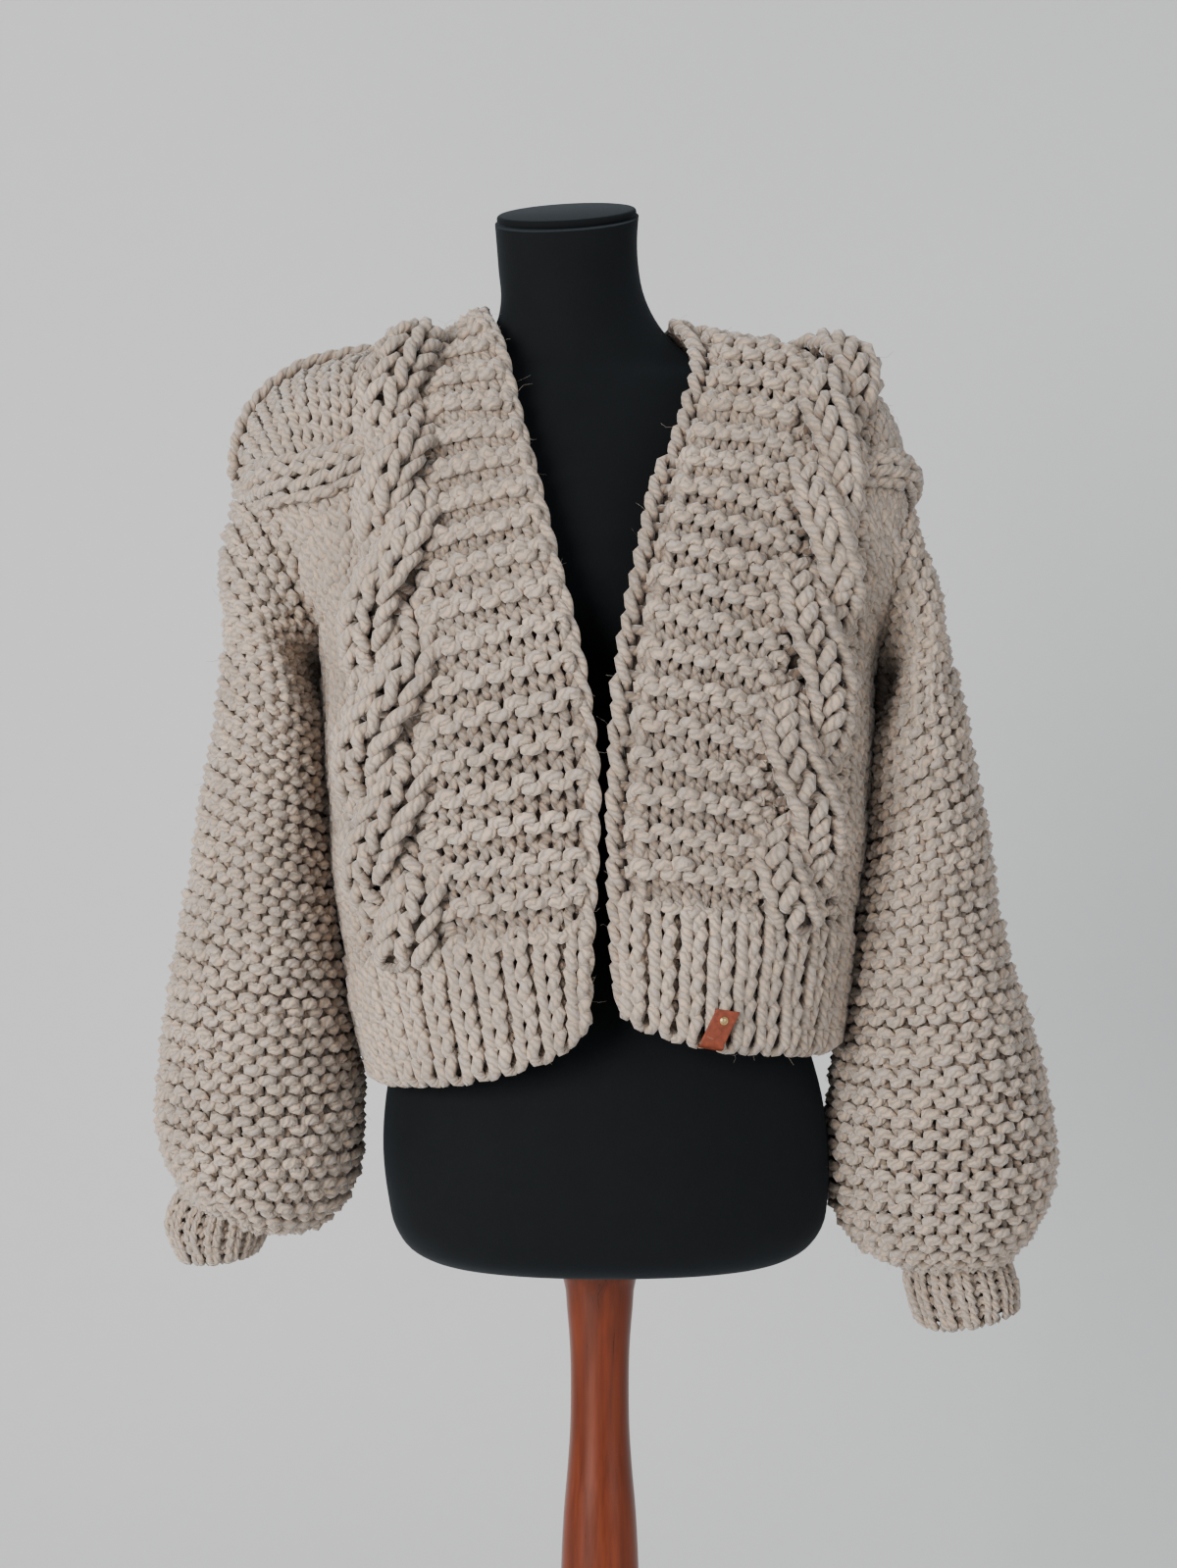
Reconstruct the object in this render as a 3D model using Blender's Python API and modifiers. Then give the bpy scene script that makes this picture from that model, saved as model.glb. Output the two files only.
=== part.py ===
"""Chunky knit cardigan on a limbless dress form with a turned wooden stand.

Metres, +Z up, the cardigan's front faces -Y. "Right" and "left" are the wearer's, so the right
side lies at -X. The origin is the centre of the base's underside.

The cloth is one surface, given at its middle, that is cut into pieces at the seams. Neighbouring
pieces share the points and the normals of the seam between them, so their walls end on one line.
"""

import math
from collections import namedtuple

import bmesh
import bpy
import numpy as np
from mathutils import Matrix, Vector

COLLECTION_NAME = "knit_cardigan_on_dress_form"

# Cloth
FABRIC = 0.009  # wall of the knit, about one strand of yarn thick
SEAM_GAP = 0.0003
FRONT_COLUMNS = 8  # facets from a front edge to the side seam
NECK_COLUMNS = 4  # facets of the back panel across the neck
ROWS_PER_LEVEL = 3
SLEEVE_ROWS_PER_RING = 1
ROW_STEPS = 240  # steps used to measure along a row
NECK_RISE_SHARE = 0.30  # share of a shoulder over which the knit climbs towards the neck

# Dress form
FORM_SIDES = 40
NECK_TILT_SIDE = 0.06  # fall of the neck's cut towards the right side
CAP_THICKNESS = 0.006
CAP_WIDTH = 0.104
CAP_DEPTH = 0.086

# Stand
POLE_SIDES = 28
BASE_RADIUS = 0.180
BASE_HEIGHT = 0.026
BASE_EDGE = 0.008
BASE_EDGE_STEPS = 3
BASE_SLOPE = 0.005  # fall of the top from the middle to the rim
BASE_FLAT = 0.055  # radius of the flat middle
BASE_FOOT = 0.002
BASE_SIDES = 48

# Label
LABEL_WIDTH = 0.017
LABEL_FLAP = 0.026
LABEL_THICKNESS = 0.0016
LABEL_GAP = 0.0006
LABEL_FROM_EDGE = 0.062  # along the hem from the left front edge
LABEL_LEAN = 0.012  # sideways shift of the flap's top end
LABEL_COLUMNS = 4
LABEL_FLAP_ROWS = 4
LABEL_TURN_ROWS = 6
RIVET_RADIUS = 0.0029
RIVET_HEIGHT = 0.0012
RIVET_SIDES = 20
RIVET_FROM_TOP = 0.006

# The front panels, a row for each level from the hem to the shoulder seam. "side" is a point of the
# side seam, or of the armhole above the underarm, and "edge" one of the open front edge. "bow" says
# how squarely the row turns the corner of the body, and "fall" how late its height drops or climbs
# to the side's. "rise" lifts the neck end of the row.
FrontLevel = namedtuple("FrontLevel", "side_x side_y side_z edge_x edge_y edge_z bow fall rise")

FRONT_RIGHT = (
    FrontLevel(-0.1620, 0.000, 0.936, -0.011, -0.143, 0.982, 2.3, 0.65, 0.0),
    FrontLevel(-0.1780, 0.000, 1.004, -0.008, -0.155, 1.046, 2.3, 1.50, 0.0),
    FrontLevel(-0.1870, 0.000, 1.062, -0.005, -0.160, 1.104, 2.2, 1.40, 0.0),
    FrontLevel(-0.1930, 0.000, 1.122, -0.006, -0.162, 1.172, 2.2, 1.30, 0.0),
    FrontLevel(-0.1970, 0.000, 1.184, -0.017, -0.158, 1.240, 2.2, 1.30, 0.0),
    FrontLevel(-0.2000, 0.000, 1.245, -0.034, -0.142, 1.306, 2.2, 1.40, 0.0),
    FrontLevel(-0.2090, -0.050, 1.282, -0.047, -0.118, 1.360, 2.3, 1.70, 0.0),
    FrontLevel(-0.2230, -0.064, 1.322, -0.059, -0.091, 1.407, 2.5, 2.10, 0.0),
    FrontLevel(-0.2440, -0.045, 1.356, -0.072, -0.059, 1.450, 2.7, 2.50, 0.010),
    FrontLevel(-0.2630, 0.000, 1.371, -0.0865, 0.000, 1.467, 2.7, 2.70, 0.028),
)
FRONT_LEFT = (
    FrontLevel(0.1690, 0.000, 0.958, 0.016, -0.143, 0.990, 2.3, 0.70, 0.0),
    FrontLevel(0.1800, 0.000, 1.032, 0.012, -0.154, 1.066, 2.3, 1.50, 0.0),
    FrontLevel(0.1860, 0.000, 1.080, 0.011, -0.159, 1.116, 2.2, 1.40, 0.0),
    FrontLevel(0.1910, 0.000, 1.131, 0.013, -0.161, 1.176, 2.2, 1.30, 0.0),
    FrontLevel(0.1950, 0.000, 1.186, 0.018, -0.157, 1.240, 2.2, 1.30, 0.0),
    FrontLevel(0.1990, 0.000, 1.240, 0.029, -0.142, 1.304, 2.2, 1.40, 0.0),
    FrontLevel(0.2065, -0.044, 1.272, 0.044, -0.119, 1.356, 2.4, 1.80, 0.0),
    FrontLevel(0.2085, -0.062, 1.311, 0.062, -0.091, 1.402, 2.7, 2.30, 0.0),
    FrontLevel(0.2160, -0.045, 1.338, 0.072, -0.060, 1.446, 2.8, 2.70, 0.004),
    FrontLevel(0.2225, 0.000, 1.352, 0.057, 0.000, 1.471, 2.8, 2.80, 0.014),
)

# The back panel at its middle, with the same levels.
BackLevel = namedtuple("BackLevel", "mid_x mid_y mid_z neck_half_width bow fall")

BACK = (
    BackLevel(0.004, 0.124, 0.946, 0.064, 2.3, 1.5),
    BackLevel(0.001, 0.133, 1.024, 0.068, 2.3, 1.5),
    BackLevel(-0.001, 0.133, 1.078, 0.070, 2.2, 1.5),
    BackLevel(-0.003, 0.131, 1.136, 0.071, 2.2, 1.5),
    BackLevel(-0.006, 0.130, 1.198, 0.072, 2.2, 1.5),
    BackLevel(-0.009, 0.129, 1.262, 0.072, 2.2, 1.6),
    BackLevel(-0.011, 0.125, 1.318, 0.072, 2.3, 2.0),
    BackLevel(-0.013, 0.115, 1.372, 0.072, 2.5, 2.4),
    BackLevel(-0.014, 0.101, 1.424, 0.072, 2.8, 2.8),
    BackLevel(-0.015, 0.070, 1.474, 0.072, 2.8, 2.8),
)
RIB_LEVEL = 1  # the hem ribs end and the panels begin here
UNDERARM_LEVEL = 5

# A sleeve's rings from below the armhole to the wrist, then the cuff's. "outer" is the point
# furthest from the body and "inner" the one nearest to it, both as seen from the front.
SleeveRing = namedtuple("SleeveRing", "outer_x outer_z inner_x inner_z y half_depth")

SLEEVE_RIGHT = (
    SleeveRing(-0.2700, 1.3183, -0.2250, 1.2340, 0.000, 0.072),
    SleeveRing(-0.2675, 1.2555, -0.2090, 1.1850, 0.000, 0.078),
    SleeveRing(-0.2740, 1.1963, -0.2065, 1.1480, 0.000, 0.083),
    SleeveRing(-0.2840, 1.1378, -0.2030, 1.1000, 0.000, 0.087),
    SleeveRing(-0.2945, 1.0784, -0.1980, 1.0500, 0.000, 0.090),
    SleeveRing(-0.3035, 1.0192, -0.1925, 1.0000, 0.000, 0.093),
    SleeveRing(-0.3143, 0.9555, -0.1875, 0.9445, 0.000, 0.095),
    SleeveRing(-0.3183, 0.9046, -0.1857, 0.8954, 0.000, 0.095),
    SleeveRing(-0.3115, 0.8705, -0.1896, 0.8525, 0.000, 0.087),
    SleeveRing(-0.3065, 0.8600, -0.2060, 0.8300, 0.001, 0.070),
    SleeveRing(-0.3040, 0.8535, -0.2300, 0.8210, 0.002, 0.048),
    SleeveRing(-0.3035, 0.8465, -0.2530, 0.8230, 0.003, 0.032),
)
SLEEVE_LEFT = (
    SleeveRing(0.2350, 1.3000, 0.2280, 1.2230, 0.000, 0.071),
    SleeveRing(0.2475, 1.2459, 0.2070, 1.1700, 0.000, 0.079),
    SleeveRing(0.2600, 1.1973, 0.2035, 1.1350, 0.000, 0.084),
    SleeveRing(0.2710, 1.1403, 0.1990, 1.0950, 0.000, 0.088),
    SleeveRing(0.2823, 1.0797, 0.1940, 1.0500, 0.001, 0.091),
    SleeveRing(0.2926, 1.0201, 0.1890, 1.0019, 0.002, 0.093),
    SleeveRing(0.3118, 0.9592, 0.1840, 0.9488, 0.003, 0.095),
    SleeveRing(0.3268, 0.8950, 0.1785, 0.8850, 0.004, 0.097),
    SleeveRing(0.3268, 0.8500, 0.1785, 0.8400, 0.004, 0.092),
    SleeveRing(0.3150, 0.8200, 0.1960, 0.8120, 0.004, 0.076),
    SleeveRing(0.3030, 0.8050, 0.2150, 0.7990, 0.004, 0.053),
    SleeveRing(0.2975, 0.7980, 0.2315, 0.7955, 0.004, 0.034),
)
CUFF_RIGHT = (
    SleeveRing(-0.3165, 0.8240, -0.2540, 0.8110, 0.003, 0.035),
    SleeveRing(-0.3065, 0.7950, -0.2610, 0.7990, 0.002, 0.031),
)
CUFF_LEFT = (
    SleeveRing(0.3039, 0.7771, 0.2341, 0.7709, 0.004, 0.036),
    SleeveRing(0.3051, 0.7560, 0.2419, 0.7460, 0.003, 0.034),
)

# The form's sections from the flat underside to the neck. It leans a little to the right.
# "dip" is the fall of a section towards the front for each metre of depth.
FormRing = namedtuple("FormRing", "z x half_width front back squareness dip")

FORM = (
    FormRing(0.793, 0.0060, 0.1150, 0.082, 0.086, 2.30, 0.0),
    FormRing(0.797, 0.0060, 0.1340, 0.097, 0.100, 2.30, 0.0),
    FormRing(0.805, 0.0062, 0.1480, 0.107, 0.111, 2.30, 0.0),
    FormRing(0.819, 0.0066, 0.1580, 0.114, 0.118, 2.30, 0.0),
    FormRing(0.842, 0.0060, 0.1630, 0.118, 0.122, 2.25, 0.0),
    FormRing(0.875, 0.0044, 0.1650, 0.119, 0.122, 2.25, 0.0),
    FormRing(0.915, 0.0030, 0.1615, 0.114, 0.117, 2.25, 0.0),
    FormRing(0.960, 0.0012, 0.1510, 0.105, 0.107, 2.25, 0.0),
    FormRing(1.010, -0.0010, 0.1400, 0.096, 0.100, 2.25, 0.0),
    FormRing(1.065, -0.0034, 0.1300, 0.089, 0.093, 2.25, 0.0),
    FormRing(1.120, -0.0058, 0.1240, 0.088, 0.090, 2.25, 0.0),
    FormRing(1.175, -0.0082, 0.1280, 0.098, 0.090, 2.25, 0.0),
    FormRing(1.225, -0.0104, 0.1370, 0.114, 0.092, 2.25, 0.0),
    FormRing(1.270, -0.0124, 0.1460, 0.124, 0.095, 2.25, 0.0),
    FormRing(1.315, -0.0144, 0.1530, 0.118, 0.098, 2.20, 0.0),
    FormRing(1.355, -0.0160, 0.1580, 0.103, 0.098, 2.10, 0.0),
    FormRing(1.390, -0.0175, 0.1600, 0.086, 0.092, 2.00, 0.0),
    FormRing(1.418, -0.0184, 0.1520, 0.072, 0.080, 1.85, 0.0),
    FormRing(1.438, -0.0186, 0.1300, 0.062, 0.069, 1.70, 0.0),
    FormRing(1.453, -0.0184, 0.1010, 0.054, 0.057, 1.65, 0.0),
    FormRing(1.469, -0.0178, 0.0770, 0.050, 0.050, 1.75, 0.0),
    FormRing(1.486, -0.0172, 0.0610, 0.049, 0.045, 1.85, 0.04),
    FormRing(1.504, -0.0198, 0.0540, 0.050, 0.044, 1.95, 0.12),
    FormRing(1.530, -0.0234, 0.0520, 0.050, 0.044, 2.10, 0.24),
    FormRing(1.552, -0.0245, 0.0525, 0.050, 0.043, 2.20, 0.34),
    FormRing(1.565, -0.0245, 0.0535, 0.050, 0.043, 2.20, 0.40),
)

# The pole's profile from the top down.
PoleRing = namedtuple("PoleRing", "z radius")

POLE = (
    PoleRing(0.7927, 0.0290),
    PoleRing(0.7810, 0.0290),
    PoleRing(0.7760, 0.0270),
    PoleRing(0.7550, 0.0245),
    PoleRing(0.7250, 0.0222),
    PoleRing(0.6950, 0.0217),
    PoleRing(0.6650, 0.0222),
    PoleRing(0.6350, 0.0242),
    PoleRing(0.6050, 0.0268),
    PoleRing(0.5650, 0.0288),
    PoleRing(0.5200, 0.0294),
    PoleRing(0.4400, 0.0280),
    PoleRing(0.3400, 0.0250),
    PoleRing(0.2400, 0.0222),
    PoleRing(0.1500, 0.0210),
    PoleRing(0.0900, 0.0232),
    PoleRing(0.0700, 0.0270),
    PoleRing(0.0600, 0.0330),
    PoleRing(0.0480, 0.0370),
    PoleRing(0.0263, 0.0380),
)

# Finishes: colour, roughness, metallic
Finish = namedtuple("Finish", "colour roughness metallic")

FINISHES = {
    "wool": Finish((0.49, 0.41, 0.33), 0.95, 0.0),
    "wool_rib": Finish((0.47, 0.39, 0.31), 0.95, 0.0),
    "jersey": Finish((0.010, 0.012, 0.015), 0.90, 0.0),
    "varnished_wood": Finish((0.30, 0.075, 0.028), 0.28, 0.0),
    "leather": Finish((0.33, 0.10, 0.035), 0.60, 0.0),
    "brass": Finish((0.45, 0.30, 0.12), 0.35, 1.0),
}


def clear_scene():
    for obj in list(bpy.data.objects):
        bpy.data.objects.remove(obj, do_unlink=True)


def finish_material(name):
    finish = FINISHES[name]
    material = bpy.data.materials.get(name) or bpy.data.materials.new(name)
    material.use_nodes = True
    shader = material.node_tree.nodes["Principled BSDF"]
    shader.inputs["Base Color"].default_value = (*finish.colour, 1.0)
    shader.inputs["Roughness"].default_value = finish.roughness
    shader.inputs["Metallic"].default_value = finish.metallic
    return material


def add_object(name, mesh, finish, collection):
    mesh.materials.append(finish_material(finish))
    obj = bpy.data.objects.new(name, mesh)
    collection.objects.link(obj)
    return obj


def shade_round(mesh, sharp_degrees=40.0):
    mesh.shade_smooth()
    mesh.set_sharp_from_angle(angle=math.radians(sharp_degrees))


# ---- cloth surface ---------------------------------------------------------------------------


def evenly_spaced(points, count):
    """The curve through these points, as count + 1 points the same distance apart."""
    steps = np.linalg.norm(np.diff(points, axis=0), axis=1)
    along = np.concatenate([[0.0], np.cumsum(steps)])
    wanted = np.linspace(0.0, along[-1], count + 1)
    return np.stack([np.interp(wanted, along, points[:, axis]) for axis in range(3)], axis=1)


def bowed(share, bow):
    return (1.0 - share**bow) ** (1.0 / bow)


def row_curve(inner, outer, level, rise=0.0):
    """A fine row from the middle of the garment out to its side, turning the corner of the body."""
    share = 1.0 - (1.0 - np.linspace(0.0, 1.0, ROW_STEPS + 1)) ** 2
    climb = rise * np.clip(1.0 - share / NECK_RISE_SHARE, 0.0, 1.0) ** 2
    x = inner[0] + (outer[0] - inner[0]) * share
    y = outer[1] + (inner[1] - outer[1]) * bowed(share, level.bow)
    z = outer[2] + (inner[2] - outer[2]) * bowed(share, level.fall) + climb
    return np.stack([x, y, z], axis=1)


def side_of(level):
    return np.array([level.side_x, level.side_y, level.side_z])


def front_row(level):
    edge = (level.edge_x, level.edge_y, level.edge_z)
    curve = row_curve(edge, side_of(level), level, level.rise)
    return evenly_spaced(curve, FRONT_COLUMNS)


def back_row(middle, right, left):
    """A row across the back from the right side to the left, with columns that end at the neck."""
    centre = np.array([middle.mid_x, middle.mid_y, middle.mid_z])
    shoulders = []
    neck_ends = []
    for level in (right, left):
        outer = side_of(level) * (1, -1, 1)
        curve = row_curve(centre, outer, middle)
        at_neck = np.searchsorted(np.abs(curve[:, 0] - middle.mid_x), middle.neck_half_width)
        shoulders.append(evenly_spaced(curve[at_neck:], FRONT_COLUMNS))
        neck_ends.append(curve[: at_neck + 1])
    neck = evenly_spaced(np.concatenate([neck_ends[0][::-1], neck_ends[1][1:]]), NECK_COLUMNS)
    return np.concatenate([shoulders[0][::-1], neck[1:-1], shoulders[1]])


def back_neck_row(middle, right_seam, left_seam):
    """The back's top row: both shoulder seams, as the fronts have them, and the neck edge."""
    turn = np.linspace(0.0, math.pi, NECK_COLUMNS + 1)[1:-1]
    start, end = right_seam[0], left_seam[0]
    share = (0.5 - 0.5 * np.cos(turn))[:, None]
    neck = start * (1.0 - share) + end * share
    neck[:, 1] += (middle.mid_y - neck[:, 1]) * np.sin(turn) ** 0.7
    neck[:, 2] += (middle.mid_z - neck[:, 2]) * np.sin(turn) ** 0.7
    return np.concatenate([right_seam[::-1], neck, left_seam])


def smooth_rows(rows, per_row):
    """A smooth surface through rows of points, as per_row steps between each two."""
    rows = np.asarray(rows)
    gaps = np.linalg.norm(np.diff(rows, axis=0), axis=2).mean(axis=1)
    knots = np.concatenate([[0.0], np.cumsum(gaps)])
    slopes = np.gradient(rows, knots, axis=0)
    made = [rows[0]]
    for k, gap in enumerate(gaps):
        for step in range(1, per_row + 1):
            t = step / per_row
            made.append(
                (2 * t**3 - 3 * t**2 + 1) * rows[k]
                + (t**3 - 2 * t**2 + t) * gap * slopes[k]
                + (3 * t**2 - 2 * t**3) * rows[k + 1]
                + (t**3 - t**2) * gap * slopes[k + 1]
            )
    return np.array(made)


def unit(vectors):
    return vectors / np.linalg.norm(vectors, axis=-1, keepdims=True)


def surface_normals(points, ring=False):
    """Unit normals of a grid of rows, which point out of the garment where rows run +X in front."""
    along = np.gradient(points, axis=0)
    if ring:
        across = np.roll(points, -1, axis=1) - np.roll(points, 1, axis=1)
    else:
        across = np.gradient(points, axis=1)
    return unit(np.cross(across, along))


def sleeve_ring(ring, count):
    """A ring of points from its inner side round by the front, the outer side and the back."""
    turn = np.linspace(0.0, 2.0 * math.pi, count, endpoint=False)[:, None]
    outer = np.array([ring.outer_x, ring.y, ring.outer_z])
    inner = np.array([ring.inner_x, ring.y, ring.inner_z])
    forward = np.array([0.0, -ring.half_depth, 0.0])
    return (inner + outer) / 2 + np.cos(turn) * (inner - outer) / 2 + np.sin(turn) * forward


def garment_surfaces():
    """Points and normals of every stretch of cloth, with shared values along each seam.

    Rows run up the body and down the sleeves. Columns run +X in front and -X behind.
    """
    top_rows = [front_row(FRONT_RIGHT[-1]), front_row(FRONT_LEFT[-1])]
    right = smooth_rows([front_row(level) for level in FRONT_RIGHT], ROWS_PER_LEVEL)
    left = smooth_rows([front_row(level) for level in FRONT_LEFT], ROWS_PER_LEVEL)
    back_rows = [back_row(*levels) for levels in zip(BACK[:-1], FRONT_RIGHT, FRONT_LEFT)]
    back_rows.append(back_neck_row(BACK[-1], *top_rows))
    back = smooth_rows(back_rows, ROWS_PER_LEVEL)

    # Below the armholes the back's sides take the fronts' points, so that both meet on one line.
    underarm = UNDERARM_LEVEL * ROWS_PER_LEVEL
    back[: underarm + 1, 0] = right[: underarm + 1, -1]
    back[: underarm + 1, -1] = left[: underarm + 1, -1]

    points = {"right": right[:, ::-1], "left": left, "back": back[:, ::-1]}
    normals = {name: surface_normals(grid) for name, grid in points.items()}

    for name, sleeve, cuff, side in (
        ("right", SLEEVE_RIGHT, CUFF_RIGHT, -1),
        ("left", SLEEVE_LEFT, CUFF_LEFT, 1),
    ):
        front_edge, back_edge = (0, -1) if side < 0 else (-1, 0)
        up_front = points[name][underarm:, front_edge]
        down_back = points["back"][underarm:, back_edge][::-1]
        armhole = np.concatenate([up_front, down_back[1:-1]])
        rings = [armhole] + [sleeve_ring(ring, len(armhole)) for ring in sleeve + cuff]
        grid = smooth_rows(rings, SLEEVE_ROWS_PER_RING)
        grid_normals = -side * surface_normals(grid, ring=True)

        side_normals = normals[name][:, front_edge]
        back_normals = normals["back"][:, back_edge]
        seam = slice(0, underarm + 1)
        side_normals[seam] = back_normals[seam] = unit(side_normals[seam] + back_normals[seam])

        top = len(up_front) - 1
        panel_ring = np.concatenate([side_normals[underarm:], back_normals[underarm:][::-1][1:-1]])
        grid_normals[0] = unit(panel_ring + grid_normals[0])
        side_normals[underarm:] = grid_normals[0][: top + 1]
        back_normals[underarm:] = np.append(grid_normals[0][top:], grid_normals[0][:1], axis=0)[::-1]
        points["sleeve_" + name] = grid
        normals["sleeve_" + name] = grid_normals

    share_shoulder_normals(normals)
    return points, normals


def share_shoulder_normals(normals):
    """The two fronts and the back take one normal at each point of the shoulder seams."""
    back_top = normals["back"][-1]
    right_top = normals["right"][-1]
    left_top = normals["left"][-1]
    inner = slice(1, None)
    right_seam = unit(right_top[inner] + back_top[::-1][: FRONT_COLUMNS + 1][inner])
    right_top[inner] = right_seam
    back_top[-FRONT_COLUMNS - 1 : -1] = right_seam[::-1]
    left_seam = unit(left_top[:-1] + back_top[: FRONT_COLUMNS + 1][::-1][:-1])
    left_top[:-1] = left_seam
    back_top[1 : FRONT_COLUMNS + 1] = left_seam[::-1]


# ---- cloth walls -----------------------------------------------------------------------------


def drawn_in(points, ring):
    """The grid with its borders pulled in by half the gap between two pieces."""
    drawn = points.copy()
    half = SEAM_GAP / 2
    drawn[0] += half * unit(points[1] - points[0])
    drawn[-1] += half * unit(points[-2] - points[-1])
    if not ring:
        drawn[:, 0] += half * unit(points[:, 1] - points[:, 0])
        drawn[:, -1] += half * unit(points[:, -2] - points[:, -1])
    return drawn


def border_loops(rows, columns, ring):
    """The borders of a grid as lists of point numbers."""
    number = np.arange(rows * columns).reshape(rows, columns)
    if ring:
        return [np.append(number[0], number[0, 0]), np.append(number[-1], number[-1, 0])]
    return [number[0], number[-1], number[:, 0], number[:, -1]]


def wall_mesh(name, points, normals, thickness, ring=False):
    """A closed wall about a grid of points. Rim facets split the same way on both sides of a seam."""
    rows, columns = points.shape[:2]
    middle = drawn_in(points, ring)
    outer = (middle + normals * thickness / 2).reshape(-1, 3)
    inner = (middle - normals * thickness / 2).reshape(-1, 3)
    order = points.reshape(-1, 3) @ np.array([0.31, 0.17, 1.0])

    mesh = bmesh.new()
    out = [mesh.verts.new(co) for co in outer]
    into = [mesh.verts.new(co) for co in inner]
    for i in range(rows - 1):
        for j in range(columns if ring else columns - 1):
            k = (j + 1) % columns
            low, high = i * columns, (i + 1) * columns
            corners = [low + j, low + k, high + k, high + j]
            mesh.faces.new([out[c] for c in corners])
            mesh.faces.new([into[c] for c in reversed(corners)])
    for loop in border_loops(rows, columns, ring):
        for a, b in zip(loop[:-1], loop[1:]):
            low, high = (a, b) if order[a] < order[b] else (b, a)
            mesh.faces.new([out[low], out[high], into[high]])
            mesh.faces.new([out[low], into[high], into[low]])
    bmesh.ops.recalc_face_normals(mesh, faces=mesh.faces)
    made = bpy.data.meshes.new(name)
    mesh.to_mesh(made)
    mesh.free()
    shade_round(made)
    return made


def add_wall(name, points, normals, finish, collection, thickness=FABRIC, ring=False):
    add_object(name, wall_mesh(name, points, normals, thickness, ring), finish, collection)


def add_body_panels(points, normals, collection):
    rib = slice(0, RIB_LEVEL * ROWS_PER_LEVEL + 1)
    panel = slice(RIB_LEVEL * ROWS_PER_LEVEL, None)
    for name, key in (("front_right", "right"), ("front_left", "left"), ("back", "back")):
        add_wall(name, points[key][panel], normals[key][panel], "wool", collection)
        add_wall("hem_rib_" + name, points[key][rib], normals[key][rib], "wool_rib", collection)


def add_sleeves(points, normals, collection):
    for name in ("right", "left"):
        grid, grid_normals = points["sleeve_" + name], normals["sleeve_" + name]
        wrist = len(SLEEVE_RIGHT) * SLEEVE_ROWS_PER_RING
        for node, finish, rows in (
            ("sleeve_" + name, "wool", slice(0, wrist + 1)),
            ("cuff_" + name, "wool_rib", slice(wrist, None)),
        ):
            add_wall(node, grid[rows], grid_normals[rows], finish, collection, ring=True)


# ---- label -----------------------------------------------------------------------------------


def between(grid, row, column):
    """A point of the grid at a fractional row and column."""
    i = min(int(row), grid.shape[0] - 2)
    j = min(int(column), grid.shape[1] - 2)
    u, v = row - i, column - j
    low = grid[i, j] * (1 - v) + grid[i, j + 1] * v
    high = grid[i + 1, j] * (1 - v) + grid[i + 1, j + 1] * v
    return low * (1 - u) + high * u


def label_grid(rib, rib_normals):
    """The label's middle surface: a flap outside the hem, the turn below it and a flap inside."""
    hem_length = np.linalg.norm(np.diff(rib[0], axis=0), axis=1).sum()
    columns_per_metre = (rib.shape[1] - 1) / hem_length
    at_label = int(LABEL_FROM_EDGE * columns_per_metre)
    rows_per_metre = 1.0 / np.linalg.norm(rib[1, at_label] - rib[0, at_label])
    clear = FABRIC / 2 + LABEL_GAP + LABEL_THICKNESS / 2

    heights = np.linspace(LABEL_FLAP, 0.0, LABEL_FLAP_ROWS + 1)
    turn = np.linspace(0.0, math.pi, LABEL_TURN_ROWS + 1)[1:-1]
    stations = [(height, clear, 0.0) for height in heights]
    stations += [(0.0, clear * math.cos(angle), clear * math.sin(angle)) for angle in turn]
    stations += [(height, -clear, 0.0) for height in heights[::-1]]

    grid = []
    for height, out, below in stations:
        row = []
        for across in np.linspace(-0.5, 0.5, LABEL_COLUMNS + 1) * LABEL_WIDTH:
            shift = LABEL_LEAN * height / LABEL_FLAP
            column = (LABEL_FROM_EDGE + across + shift) * columns_per_metre
            foot = between(rib, 0.0, column)
            up = unit(between(rib, 1.0, column) - foot)
            surface = between(rib, height * rows_per_metre, column)
            normal = between(rib_normals, height * rows_per_metre, column)
            row.append(surface + out * normal - below * up)
        grid.append(row)
    return np.array(grid)


def add_label(points, normals, collection):
    grid = label_grid(points["left"], normals["left"])
    grid_normals = -surface_normals(grid)
    add_wall("label_tab", grid, grid_normals, "leather", collection, thickness=LABEL_THICKNESS)

    row = RIVET_FROM_TOP / LABEL_FLAP * LABEL_FLAP_ROWS
    normal = Vector(unit(between(grid_normals, row, LABEL_COLUMNS / 2)))
    place = Vector(between(grid, row, LABEL_COLUMNS / 2))
    place += normal * (LABEL_THICKNESS / 2 + SEAM_GAP + RIVET_HEIGHT / 2)
    rivet = cylinder_object(
        "label_rivet", RIVET_RADIUS, RIVET_HEIGHT, RIVET_SIDES, "brass", collection
    )
    rivet.location = place
    rivet.rotation_euler = normal.to_track_quat("Z", "Y").to_euler()
    round_edges(rivet, RIVET_HEIGHT * 0.45)


# ---- form and stand --------------------------------------------------------------------------


def cylinder_object(name, radius, height, sides, finish, collection, stretch=1.0):
    mesh = bmesh.new()
    bmesh.ops.create_cone(
        mesh, cap_ends=True, segments=sides, radius1=radius, radius2=radius, depth=height
    )
    bmesh.ops.transform(mesh, matrix=Matrix.Diagonal((1.0, stretch, 1.0, 1.0)), verts=mesh.verts)
    made = bpy.data.meshes.new(name)
    mesh.to_mesh(made)
    mesh.free()
    shade_round(made)
    return add_object(name, made, finish, collection)


def round_edges(obj, width, segments=2):
    bevel = obj.modifiers.new("rounded edge", "BEVEL")
    bevel.width = width
    bevel.segments = segments
    bevel.limit_method = "ANGLE"
    bevel.angle_limit = math.radians(50)


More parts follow.
